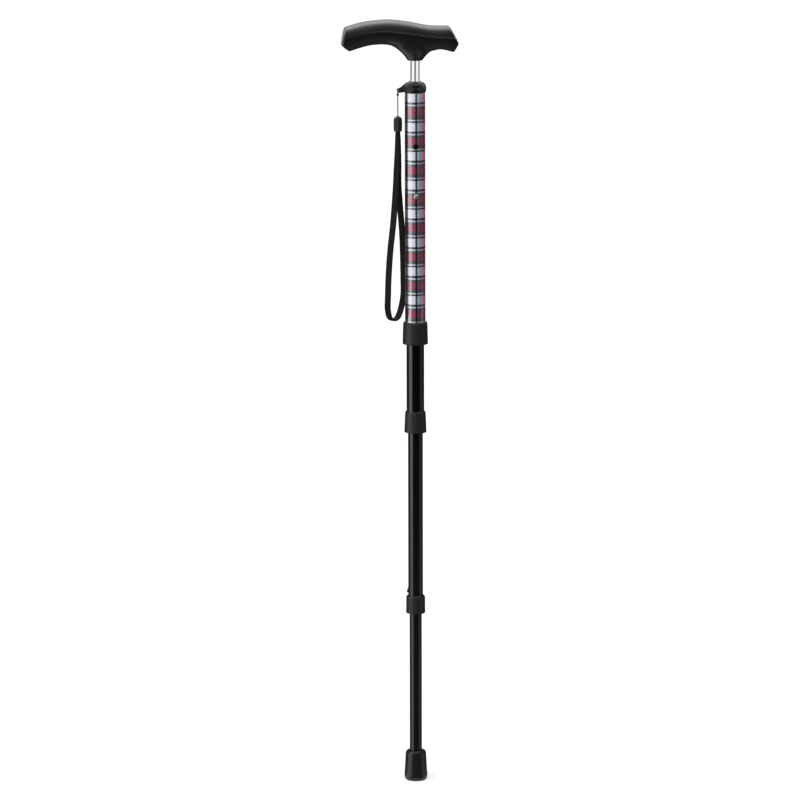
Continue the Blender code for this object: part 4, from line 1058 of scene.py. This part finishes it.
# ---- Bush and cross pin --------------------------------------------------------------------
# The white nylon bush on the post's foot guides it in the tartan tube. A short steel pin holds
# it. Neither is in the photograph, so the CAD's own shapes stay.
nylon = moulded("natural_nylon", (0.60, 0.60, 0.56), (0.52, 0.52, 0.48), (0.42, 0.55), 1800.0,
                0.00002, Subsurface_Weight=0.0)

# Drawn steel: fine lines round or along a wire or strip, as roughness and faint relief
drawn, given, result = group_of("drawn_lines", ["Scale", "Stretch"], ["Height"])
apart = add(drawn, "ShaderNodeSeparateXYZ", {0: given["Place"]}).outputs
squashed = sums(drawn, "MULTIPLY", apart["Z"], given["Stretch"])
joined = add(drawn, "ShaderNodeCombineXYZ", {0: apart["X"], 1: apart["Y"], 2: squashed})
drawn.links.new(noise(drawn, joined.outputs[0], given["Scale"], Detail=4.0), result["Height"])


def metal(name, colour, rough, depth=0.00001, scale=2500.0, stretch=0.03, metallic=1.0, **sockets):
    """A metal with draw lines along Z and rubbed patches in its gloss."""
    made, tree, shader = finish_of(name, colour, rough[0], metallic, **sockets)
    place = place_of(tree)
    lines = use(tree, drawn, {"Place": place, "Scale": scale, "Stretch": stretch})
    tree.links.new(patchy(tree, place, 180.0, rough), shader.inputs["Roughness"])
    bump(tree, shader, lines["Height"], depth)
    return made


def refinish(finish, *nodes):
    """Gives this scene's finish to solids that keep the CAD's own shape."""
    for node in nodes:
        for held in bpy.data.objects[node].material_slots:
            held.material = finish


spring_steel = metal("spring_steel", (0.60, 0.60, 0.62), (0.2, 0.34))
refinish(nylon, "post_bush", "second_bush", "third_bush", "lower_bush")
refinish(spring_steel, "post_bush_pin")


# ---- Snap button ---------------------------------------------------------------------------
# A strip of spring steel bent into a hairpin inside the post, with a domed steel button riveted
# to its front leg. The button stands out of the post and of the tartan tube's lower hole.
UPPER_OD = 0.022
TUBE_WALL = 0.001
BUTTON_PROUD = 0.0011
LEAF_THICKNESS = 0.0005
LEAF_TIP = 0.0045
LEAF_BEND = 0.018
LEAF_BEND_RADIUS = 0.0016
BUTTON_LEAF_WIDTH = 0.004


def leaf_reach(inner_radius, width):
    """How far out a leaf's leg stands in a round bore, clear of its wall."""
    return math.sqrt((inner_radius - SLOT_GAP) ** 2 - (width / 2) ** 2) - LEAF_THICKNESS / 2


def hairpin(reach, width, way, height, turn):
    """The bent leaf as a grid: a thin rounded strip carried along two legs and their bend. way
    is 1 where the bend is above the nose or button and -1 where it is below."""
    bend = way * (LEAF_BEND - LEAF_BEND_RADIUS)
    half_turn = np.linspace(0, math.pi, 25)
    legs = [(reach, -way * LEAF_TIP), (reach * 0.9 + LEAF_BEND_RADIUS * 0.1, 0.0)]
    curve = np.stack([LEAF_BEND_RADIUS * np.cos(half_turn),
                      bend + way * LEAF_BEND_RADIUS * np.sin(half_turn)], axis=1)
    other = [(-x, z) for x, z in legs[::-1]]
    line = smooth_line([*legs, *curve[::3], *other], 120)
    ahead = unit(np.gradient(line, axis=0))
    zero = np.zeros(len(line))
    path = np.stack([line[:, 0], zero, line[:, 1]], axis=1)
    out = np.stack([-ahead[:, 1], zero, ahead[:, 0]], axis=1)
    side = np.tile([0.0, 1.0, 0.0], (len(line), 1))
    strip = rounded_box((-width / 2, width / 2), (-LEAF_THICKNESS / 2, LEAF_THICKNESS / 2),
                        0.00012, 2)
    return turned_about_z(carried(path, side, out, strip), turn) + [0, 0, height]


def button(radius, start, face, proud, height, turn):
    """The riveted button lying level: a dome on a short round shank."""
    line = np.vstack([[(0.0, start), (radius, start)],
                      arc((0.0, face - 0.0002), (radius, proud + 0.0002), 0, 90, 16)])
    return levelled(line[:, 1], line[:, :1, None] * circle(TOOL_SIDES), height, turn)


reach = leaf_reach(POST_OD / 2 - POST_WALL, BUTTON_LEAF_WIDTH)
clip = skin("snap_button", [
    hairpin(reach, BUTTON_LEAF_WIDTH, 1, BUTTON_Z, FRONT),
    button(BUTTON_D / 2, reach - LEAF_THICKNESS / 2, UPPER_OD / 2, BUTTON_PROUD, BUTTON_Z, FRONT),
], spring_steel, ends=True)
dress(clip, "post_button", "spring_steel", "post_snap_clip")


# ---- Cap -----------------------------------------------------------------------------------
# A moulded cap pressed into the tartan tube's top: a dome round the post, a rim with a shallow
# window at the front, and an ear with an eye for the strap.
CAP_Z = 0.7524
CAP_HEIGHT = 0.0116
CAP_RADIUS = UPPER_OD / 2 + 0.0012
CAP_EDGE = UPPER_OD / 2 + 0.0004
CAP_RIM = 0.0018
CAP_SIDE = 0.0043
CAP_DOME = 0.0106
CAP_BORE = POST_OD / 2 + SLOT_GAP
CAP_CROWN = CAP_BORE + 0.0024
CAP_SPIGOT = 0.015
CAP_BEVEL = 0.0006
CAP_WINDOW = (0.0076, 0.0084)
CAP_WINDOW_DEEP = 0.0009
CAP_WINDOW_ROUND = 0.0009
CAP_INSERT_SUNK = 0.00015
CAP_INSERT_GAP = 0.0001
EAR_OUT = -float(EAR[0])
EAR_UP = float(EAR[2]) - CAP_Z
EAR_WIDTH = 0.0018
EAR_EYE = 0.0009
EYE_SIDES = 48
# The ear's side view round its tip, as (beyond the cap's side, height above the cap's foot)
EAR_EDGE = (
    (0.0000, 0.0081), (0.0013, 0.0069), (0.0024, 0.0060), (0.0034, 0.0052),
    (0.0045, 0.0048), (0.0056, 0.0045), (0.0066, 0.0038), (0.0073, 0.0028),
    (0.0074, 0.0018), (0.0068, 0.0007), (0.0057, -0.0003), (0.0045, -0.0008),
    (0.0034, -0.0006), (0.0013, -0.0003), (0.0001, -0.0003), (-0.0003, 0.0),
)


def plate(outline, thickness, edge, turn=0.0, height=0.0):
    """A flat outline of (x, z) points given a thickness in y, with rolled edges: each row is
    the outline drawn in by edge (1 - cos a) where the edge turns."""
    line = np.array(outline, float)
    ahead = unit(np.roll(line, -1, axis=0) - np.roll(line, 1, axis=0))
    inward = np.stack([-ahead[:, 1], ahead[:, 0]], axis=1)
    area = np.sum(line[:, 0] * np.roll(line[:, 1], -1) - np.roll(line[:, 0], -1) * line[:, 1])
    inward *= np.sign(area)
    a = np.radians(np.linspace(90, 0, 5))
    draw = np.r_[edge * (1 - np.cos(a)), edge * (1 - np.cos(a[::-1]))]
    y = thickness / 2 - edge * (1 - np.sin(a))
    y = np.r_[-y, y[::-1]]
    rows = line + inward * draw[:, None, None]
    flat = np.stack([rows[..., 0], np.broadcast_to(y[:, None], rows.shape[:2]), rows[..., 1]],
                    axis=-1)
    return turned_about_z(flat, turn) + [0, 0, height]


def even(outline, count):
    """A closed outline with its points spread evenly along it."""
    return resampled(np.vstack([outline, outline[:1]]), count, endpoint=False)


collar_black = moulded("collar_black", (0.0115, 0.0115, 0.012), (0.0160, 0.0160, 0.0166),
                       (0.36, 0.46), 2400.0, 0.00003, drift=90.0, Specular_IOR_Level=0.27)
spigot = UPPER_OD / 2 - TUBE_WALL - SEAT_GAP
body = [(CAP_BORE, -CAP_SPIGOT), (spigot, -CAP_SPIGOT), (spigot, 0.0), (CAP_EDGE, 0.0),
        (CAP_RADIUS, CAP_RIM)]
dome = arc((CAP_CROWN, CAP_SIDE), (CAP_RADIUS - CAP_CROWN, CAP_DOME - CAP_SIDE), 0, 90, 9)
body += [*dome.tolist(), (CAP_BORE + CAP_BEVEL, CAP_HEIGHT), (CAP_BORE, CAP_HEIGHT - CAP_BEVEL)]
round_by = [0.0, 0.0, 0.0, 0.0003, 0.0004, *[0.0006] * 9, 0.0003, 0.0002]
cap = skin("cap", spun(rounded(body, round_by, 4)) + [0, 0, CAP_Z], collar_black, along=True)
inner = (CAP_RADIUS + CAP_BORE) / 2
ear = smooth_line(np.array(EAR_EDGE), 120) * [-1, 1] - [CAP_RADIUS, 0]
ear = np.vstack([ear, [(-inner, 0.0), (-inner, CAP_DOME - 0.0005)]])
lug = skin("ear", plate(even(ear, 160), EAR_WIDTH, 0.0004, height=CAP_Z), collar_black,
           ends=True)
carve(cap, [lug], "UNION")
eye_y = np.array([-0.004, -0.0012, -0.0005, 0.0005, 0.0012, 0.004])
eye_r = EAR_EYE + np.array([0.0006, 0.0003, 0.0, 0.0, 0.0003, 0.0006])
around = turns(EYE_SIDES)
eye = np.stack([-EAR_OUT + eye_r[:, None] * np.cos(around),
                eye_y[:, None] + 0 * around,
                CAP_Z + EAR_UP + eye_r[:, None] * np.sin(around)], axis=-1)


def cap_radius(height):
    """The cap's outer radius at a height above its foot."""
    outer_line = np.array([(CAP_EDGE, 0.0), (CAP_RADIUS, CAP_RIM), *dome.tolist()])
    return np.interp(height, outer_line[:, 1], outer_line[:, 0])


def window_edge(shrink):
    """The window's rounded outline as (across, up), drawn in by shrink."""
    half, low, high = CAP_WINDOW[0] / 2 - shrink, -0.001 + 2 * shrink, CAP_WINDOW[1] - shrink
    return even(rounded_box((-half, half), (low, high), CAP_WINDOW_ROUND, 6), 120)


def on_cap(edge, sunk):
    """An outline laid on the cap's front, sunk below its surface: y = -sqrt(r(z)^2 - x^2)."""
    radius = cap_radius(np.clip(edge[..., 1], 0.0003, None)) - sunk
    return np.stack([edge[..., 0], -np.sqrt(radius**2 - edge[..., 0] ** 2), edge[..., 1] + CAP_Z],
                    axis=-1)


edge = window_edge(0.0)
rows = [on_cap(edge, CAP_WINDOW_DEEP), on_cap(edge, -0.002)]
carve(cap, [skin("eye", eye, ends=True), skin("window", np.array(rows), ends=True)])
shade(cap, 32)
dress(cap, "upper_section", "moulded_collar", "top_cap")

# The insert: a smooth gloss plate that fills the window, its face drawn in to the middle
insert_black = moulded("insert_black", (0.0030, 0.0030, 0.0034), (0.0045, 0.0045, 0.005),
                       (0.16, 0.24), 2600.0, 0.000008)
edge = window_edge(CAP_INSERT_GAP)
edge[:, 1] = np.maximum(edge[:, 1], 0.0004)
heart = np.array([0.0, edge[:, 1].mean()])
face = heart + (edge - heart) * np.linspace(0.98, 0.0, 16)[:, None, None]
rows = np.concatenate([
    on_cap(edge, CAP_WINDOW_DEEP - 0.0001)[None], on_cap(edge, CAP_INSERT_SUNK + 0.0002)[None],
    on_cap(heart + (edge - heart) * 0.99, CAP_INSERT_SUNK + 0.00005)[None],
    on_cap(face, CAP_INSERT_SUNK)])
insert = skin("cap_insert", rows, insert_black, ends=True)
dress(insert, "upper_section", "moulded_collar")


# ---- Tartan tube ---------------------------------------------------------------------------
# The upper section's aluminium tube, wrapped in a glossy film printed with a tartan. Two height
# holes at the front, a pin hole low down, and a slot at the back for the next tube's catch.
UPPER_COLLAR_Z = 0.4813
COLLAR_LIP = 0.006
HOLE_D = 0.006
HOLE_PITCH = 0.053
NOSE_WIDTH = 0.004
NOSE_HEIGHT = 0.0059
SECOND_CATCH_Z, THIRD_CATCH_Z, LOWER_CATCH_Z = 0.5379, 0.41415, 0.21155
COLLAR_PIN_Z = UPPER_COLLAR_Z + 0.0162
COLLAR_PIN_D = 0.0022
SETT_ROUND = 0.031
SETT_DOWN = 0.0310
SETT_TOP = 0.7516
SETT_LEFT = math.radians(-48.8) * UPPER_OD / 2
TWILL_PITCH = 0.0005
TWILL_DARK = 0.93
SEAM_RISE = (math.pi - 0.03, math.pi - 0.02)
FILM_WHITE = (0.80, 0.82, 0.90)

# Round the tube and down it: stripes from the white one's start, in millimetres, and their tints
WARP = (
    (0.0, (0.86, 0.86, 0.86)), (4.6, (0.93, 0.93, 0.93)), (8.5, (0.06, 0.075, 0.10)),
    (10.85, (0.50, 0.59, 0.65)), (12.75, (0.22, 0.30, 0.36)), (13.8, (0.32, 0.44, 0.52)),
    (16.1, (0.82, 0.23, 0.37)), (24.2, (0.15, 0.17, 0.19)), (27.9, (0.05, 0.06, 0.07)),
    (30.7, (0.86, 0.86, 0.86)),
)
WEFT = (
    (0.0, (1.0, 1.0, 1.0)), (9.2, (0.06, 0.065, 0.085)), (11.4, (0.80, 0.82, 0.84)),
    (13.2, (0.13, 0.14, 0.14)), (15.9, (0.42, 0.078, 0.13)), (18.0, (0.53, 0.12, 0.18)),
    (18.8, (0.42, 0.078, 0.13)), (21.2, (0.53, 0.12, 0.18)), (22.0, (0.42, 0.078, 0.13)),
    (24.1, (0.12, 0.13, 0.13)), (27.6, (0.80, 0.82, 0.84)), (29.2, (0.06, 0.065, 0.085)),
)


def stripes(tree, place, period, offset, sett):
    """Printed stripes: a place in metres, wrapped to one repeat of the sett."""
    repeats = sums(tree, "DIVIDE", sums(tree, "SUBTRACT", place, offset), period)
    within = sums(tree, "FRACT", repeats)
    return ramp_of(tree, within, [(start / 1000 / period, tint) for start, tint in sett],
                   "CONSTANT")


tartan, tree, shader = finish_of("tartan_film", FILM_WHITE, 0.16, Specular_IOR_Level=1.0,
                                 Coat_Weight=1.0, Coat_Roughness=0.08, Coat_IOR=1.8)
place = place_of(tree)
apart = add(tree, "ShaderNodeSeparateXYZ", {0: place}).outputs
angle = sums(tree, "ARCTAN2", apart["X"], sums(tree, "MULTIPLY", apart["Y"], -1.0))
round_by = sums(tree, "MULTIPLY", angle, UPPER_OD / 2)
down = sums(tree, "SUBTRACT", SETT_TOP, apart["Z"])
# The print copies a twill: hair lines that run aslant
slant = sums(tree, "ADD", round_by, down)
wave = sums(tree, "SINE", sums(tree, "MULTIPLY", slant, 2 * math.pi / TWILL_PITCH))
printed = stripes(tree, round_by, SETT_ROUND, SETT_LEFT, WARP)
for over in (stripes(tree, down, SETT_DOWN, 0.0, WEFT), FILM_WHITE,
             ranged(tree, wave, -1.0, 1.0, TWILL_DARK)):
    printed = coloured(tree, 1.0, printed, over, blend_type="MULTIPLY")
base(tree, shader, printed)
tree.links.new(patchy(tree, place, 60.0, (0.13, 0.22)), shader.inputs["Roughness"])
# Where the film's edges meet at the back it stands up in a fine ridge
seam = ranged(tree, sums(tree, "ABSOLUTE", angle), *SEAM_RISE)
bump(tree, shader, seam, 0.00008)

bare_metal = metal("bare_aluminium", (0.62, 0.62, 0.63), (0.3, 0.45))


def slot_tool(name, outer, height, turn):
    """The cutter for a catch's slot: a rounded block that reaches through one side's wall."""
    side = NOSE_WIDTH / 2 + SLOT_GAP
    half = NOSE_HEIGHT / 2 + SLOT_GAP
    edge = rounded_box((-side, side), (-half, half), 0.0005, 4)
    stations = [outer - 2 * TUBE_WALL, outer + TUBE_WALL]
    return skin(name, levelled(stations, edge, height, turn), ends=True)


def hole_tool(name, diameter, outer, height, turn, flare=0.0001):
    """The cutter for a round hole with its edge broken."""
    r = diameter / 2
    stations = [outer - 3 * TUBE_WALL, outer - flare * 1.5, outer, outer + flare * 3]
    return bar_tool(name, [r, r, r + flare, r + flare * 4], stations, height, turn)


def skin_only_outside(obj, outer):
    """Gives the second finish to every face that isn't on the tube's outer face."""
    faces = obj.data.polygons
    centres, normals = np.empty((2, len(faces), 3))
    faces.foreach_get("center", centres.reshape(-1))
    faces.foreach_get("normal", normals.reshape(-1))
    plan = unit(centres * [1, 1, 0] + [1e-12, 0, 0])
    outside = (np.sum(plan * normals, axis=1) > 0.9) & (
        np.linalg.norm(centres[:, :2], axis=1) > outer - 0.0001)
    faces.foreach_set("material_index", np.where(outside, 0, 1).astype(np.int32))


outer = UPPER_OD / 2
outline = tube_outline(outer, TUBE_WALL, UPPER_COLLAR_Z + COLLAR_LIP + SEAT_GAP, CAP_Z - SEAT_GAP,
                       rows=60)
upper_tube = skin("tartan_tube", spun(outline, 192), tartan, bare_metal, along=True)
carve(upper_tube, [
    hole_tool("hole_low", HOLE_D, outer, BUTTON_Z, FRONT),
    hole_tool("hole_high", HOLE_D, outer, BUTTON_Z + HOLE_PITCH, FRONT),
    hole_tool("pin_hole", COLLAR_PIN_D + 2 * SLOT_GAP, outer, COLLAR_PIN_Z, FRONT),
    slot_tool("slot", outer, SECOND_CATCH_Z, BACK),
])
skin_only_outside(upper_tube, outer)
shade(upper_tube)
dress(upper_tube, "upper_section", "tartan_film", "upper_tube")


# ---- Collars -------------------------------------------------------------------------------
# Moulded rings pushed over the lower ends of three tubes; a lip inside each guides the next
# tube. The first has a tongue between two grooves and is held by a small pin.
COLLAR_FOOT_ROUND = 0.0009
COLLAR_ROUND = 0.0028
COLLAR_ROUND_SHARE = 0.8
GROOVE_WIDTH = 0.0008
GROOVE_DEPTH = 0.0009
GROOVE_HEIGHT = 0.0095
GROOVE_SPACING = 0.0069
DIMPLE_OUT = 0.0021
SECOND_OD, THIRD_OD, LOWER_OD = 0.019, 0.016, 0.0132
# For each: its foot's height, its height, the tube it holds, the tube it guides and its walls
COLLARS = {
    "upper": (UPPER_COLLAR_Z, 0.0242, UPPER_OD, SECOND_OD, (0.0018, 0.0024)),
    "second": (0.3850, 0.0230, SECOND_OD, THIRD_OD, (0.00135, 0.0022)),
    "third": (0.1860, 0.0194, THIRD_OD, LOWER_OD, (0.00195, 0.0021)),
}


def collar(name):
    """A collar's wall turned about Z, with a large round at the top and a small one below."""
    foot, height, fixed, sliding, walls = COLLARS[name]
    bore = fixed / 2 + SEAT_GAP
    lip = sliding / 2 + SLOT_GAP
    large = walls[0] * COLLAR_ROUND_SHARE
    shoulder = arc((bore + walls[0] - large, foot + height - COLLAR_ROUND), (large, COLLAR_ROUND),
                   0, 90, 20)
    line = [(lip, foot), (bore + walls[1], foot), *shoulder.tolist(), (bore, foot + height),
            (bore, foot + COLLAR_LIP), (lip, foot + COLLAR_LIP)]
    outline = rounded(line, [0.0003, COLLAR_FOOT_ROUND, *[0.0004] * 20, 0.0001, 0.0, 0.0], 4)
    return skin(f"{name}_collar_ring", spun(outline, 160), collar_black, along=True)


rings = {name: collar(name) for name in COLLARS}
bore = UPPER_OD / 2 + SEAT_GAP
top_wall, foot_wall = COLLARS["upper"][4]
skin_at = bore + foot_wall
tools = [hole_tool("dimple", COLLAR_PIN_D + 2 * SLOT_GAP, bore + DIMPLE_OUT, COLLAR_PIN_Z,
                   FRONT, 0.0003)]
for middle in (-GROOVE_SPACING / 2, GROOVE_SPACING / 2):
    edge = rounded_box((middle - GROOVE_WIDTH / 2, middle + GROOVE_WIDTH / 2),
                       (UPPER_COLLAR_Z - 0.002, UPPER_COLLAR_Z + GROOVE_HEIGHT), 0.0003, 4)
    rows = [np.stack([edge[:, 0], np.full(len(edge), -y), edge[:, 1]], axis=1)
            for y in (skin_at - GROOVE_DEPTH, skin_at + 0.002)]
    tools.append(skin("groove", np.array(rows), ends=True))
carve(rings["upper"], tools)
for name, obj in rings.items():
    shade(obj, 30)
    dress(obj, f"{name}_section", "moulded_collar", f"{name}_collar")

pin_end = bore + top_wall - 0.0005
pin = button(COLLAR_PIN_D / 2, UPPER_OD / 2 - TUBE_WALL + SEAT_GAP, pin_end - 0.0002, 0.0004,
             COLLAR_PIN_Z, FRONT)
blackened = metal("blackened_steel", (0.09, 0.09, 0.095), (0.3, 0.42), metallic=0.7)
pin = skin("collar_pin", pin, blackened)
dress(pin, "upper_section", "spring_steel", "upper_collar_pin")


# ---- Black tubes ---------------------------------------------------------------------------
# Three drawn aluminium tubes, gloss black anodised, each sliding in the one above. Near its top
# each has a slot for its own catch, and the outer two have one for the catch inside them.
gloss_black = metal("black_anodising", (0.0016, 0.0016, 0.0018), (0.13, 0.2), depth=0.000004,
                    scale=1800.0, stretch=0.01, metallic=0.0, Specular_IOR_Level=0.5)
# For each: its diameter, its foot and top, and the catches whose slots it has
SECOND_CATCH, THIRD_CATCH = (SECOND_CATCH_Z, BACK), (THIRD_CATCH_Z, BACK)
LOWER_CATCH = (LOWER_CATCH_Z, LEFT)
TUBES = {
    "second": (SECOND_OD, 0.3913, 0.5480, (SECOND_CATCH, THIRD_CATCH)),
    "third": (THIRD_OD, 0.1923, 0.4248, (THIRD_CATCH, LOWER_CATCH)),
    "lower": (LOWER_OD, 0.0111, 0.2222, (LOWER_CATCH,)),
}
for name, (od, foot, top, slots) in TUBES.items():
    outline = tube_outline(od / 2, TUBE_WALL, foot, top, rows=50)
    tube = skin(f"{name}_black_tube", spun(outline, 160), gloss_black, bare_metal, along=True)
    carve(tube, [slot_tool("slot", od / 2, height, turn) for height, turn in slots])
    skin_only_outside(tube, od / 2)
    shade(tube)
    dress(tube, f"{name}_section", "black_anodised_tube", f"{name}_tube")


# ---- Spring catches ------------------------------------------------------------------------
# A blackened spring-steel hairpin in each tube's top, with a pressed nose that comes out
# through both walls. It is square within them and a ramp outside, its abrupt face down.
LEAF_WIDTH = 0.005
NOSE_PROUD = 0.0015
NOSE_CHAMFER = 0.0006
NOSE_LIP = 0.0011
catch_black = metal("catch_black", (0.05, 0.05, 0.053), (0.28, 0.4), metallic=0.5)
# For each: its own tube's diameter, that of the tube outside it and its place
CATCHES = {
    "second": (SECOND_OD, UPPER_OD, SECOND_CATCH),
    "third": (THIRD_OD, SECOND_OD, THIRD_CATCH),
    "lower": (LOWER_OD, THIRD_OD, LOWER_CATCH),
}
for name, (od, outer_od, (height, turn)) in CATCHES.items():
    reach = leaf_reach(od / 2 - TUBE_WALL, LEAF_WIDTH)
    root, face = reach - LEAF_THICKNESS / 2, outer_od / 2
    tip, low, high = face + NOSE_PROUD, -NOSE_HEIGHT / 2, NOSE_HEIGHT / 2
    wedge = [(root, low), (tip, low), (tip, low + NOSE_LIP), (face, high), (root, high)]
    wedge = rounded(wedge, [0.0001, NOSE_CHAMFER, 0.0005, 0.0006, 0.0001], 5)
    catch = skin(f"{name}_catch_spring", [
        hairpin(reach, LEAF_WIDTH, -1, height, turn),
        plate(wedge, NOSE_WIDTH, 0.0003, turn, height),
    ], catch_black, ends=True)
    dress(catch, f"{name}_catch", "blackened_spring", f"{name}_snap_clip")


# ---- Ferrule -------------------------------------------------------------------------------
# A moulded rubber ferrule pushed over the lowest tube, with a steel washer under the tube's
# end. Two ring grooves in its foot give it grip.
FERRULE_HEIGHT = 0.033
FERRULE_BORE = LOWER_OD / 2 + SEAT_GAP
FERRULE_FOOT = FERRULE_BORE + 0.0029
FERRULE_WIDE = FERRULE_BORE + 0.0055
FERRULE_SHOULDER_R = FERRULE_BORE + 0.0043
FERRULE_NECK = FERRULE_BORE + 0.0016
FERRULE_FOOT_ROUND = 0.0039
FERRULE_WIDEST = 0.0065
FERRULE_SHOULDER = 0.0288
FERRULE_FLOOR = 0.009
TREADS = (0.0045, 0.0072)
TREAD_WIDTH = 0.0011
TREAD_DEPTH = 0.0008

line = [(0.0, 0.0)]
for radius in TREADS:
    near, far = radius - TREAD_WIDTH / 2, radius + TREAD_WIDTH / 2
    line += [(near, 0.0), (near, TREAD_DEPTH), (far, TREAD_DEPTH), (far, 0.0)]
corners = len(line)
line += arc((FERRULE_FOOT, FERRULE_FOOT_ROUND), (FERRULE_WIDE - FERRULE_FOOT, FERRULE_FOOT_ROUND),
            -90, 0, 14).tolist()
line += [(FERRULE_WIDE, FERRULE_WIDEST)]
shoulder = (FERRULE_SHOULDER_R - FERRULE_NECK, FERRULE_HEIGHT - FERRULE_SHOULDER)
line += arc((FERRULE_NECK, FERRULE_SHOULDER), shoulder, 0, 90, 16).tolist()
rounds = [0.00012] * corners + [0.0004] * (len(line) - corners)
line += [(FERRULE_BORE, FERRULE_HEIGHT), (FERRULE_BORE, FERRULE_FLOOR), (0.0, FERRULE_FLOOR)]
rounds += [0.0003, 0.0, 0.0]
rounds[0] = 0.0

rubber = moulded("ferrule_rubber", (0.005, 0.005, 0.0053), (0.009, 0.009, 0.0094), (0.22, 0.3),
                 1500.0, 0.00005, drift=120.0, patches=150.0, Specular_IOR_Level=0.4)
profile = rounded(line, rounds, 4)
profile = profile[profile[:, 0] >= 0]
ferrule = skin("rubber_ferrule", spun(profile, 160), rubber, along=True)
dress(ferrule, "lower_section", "ferrule_rubber", "ferrule")
refinish(spring_steel, "ferrule_washer")
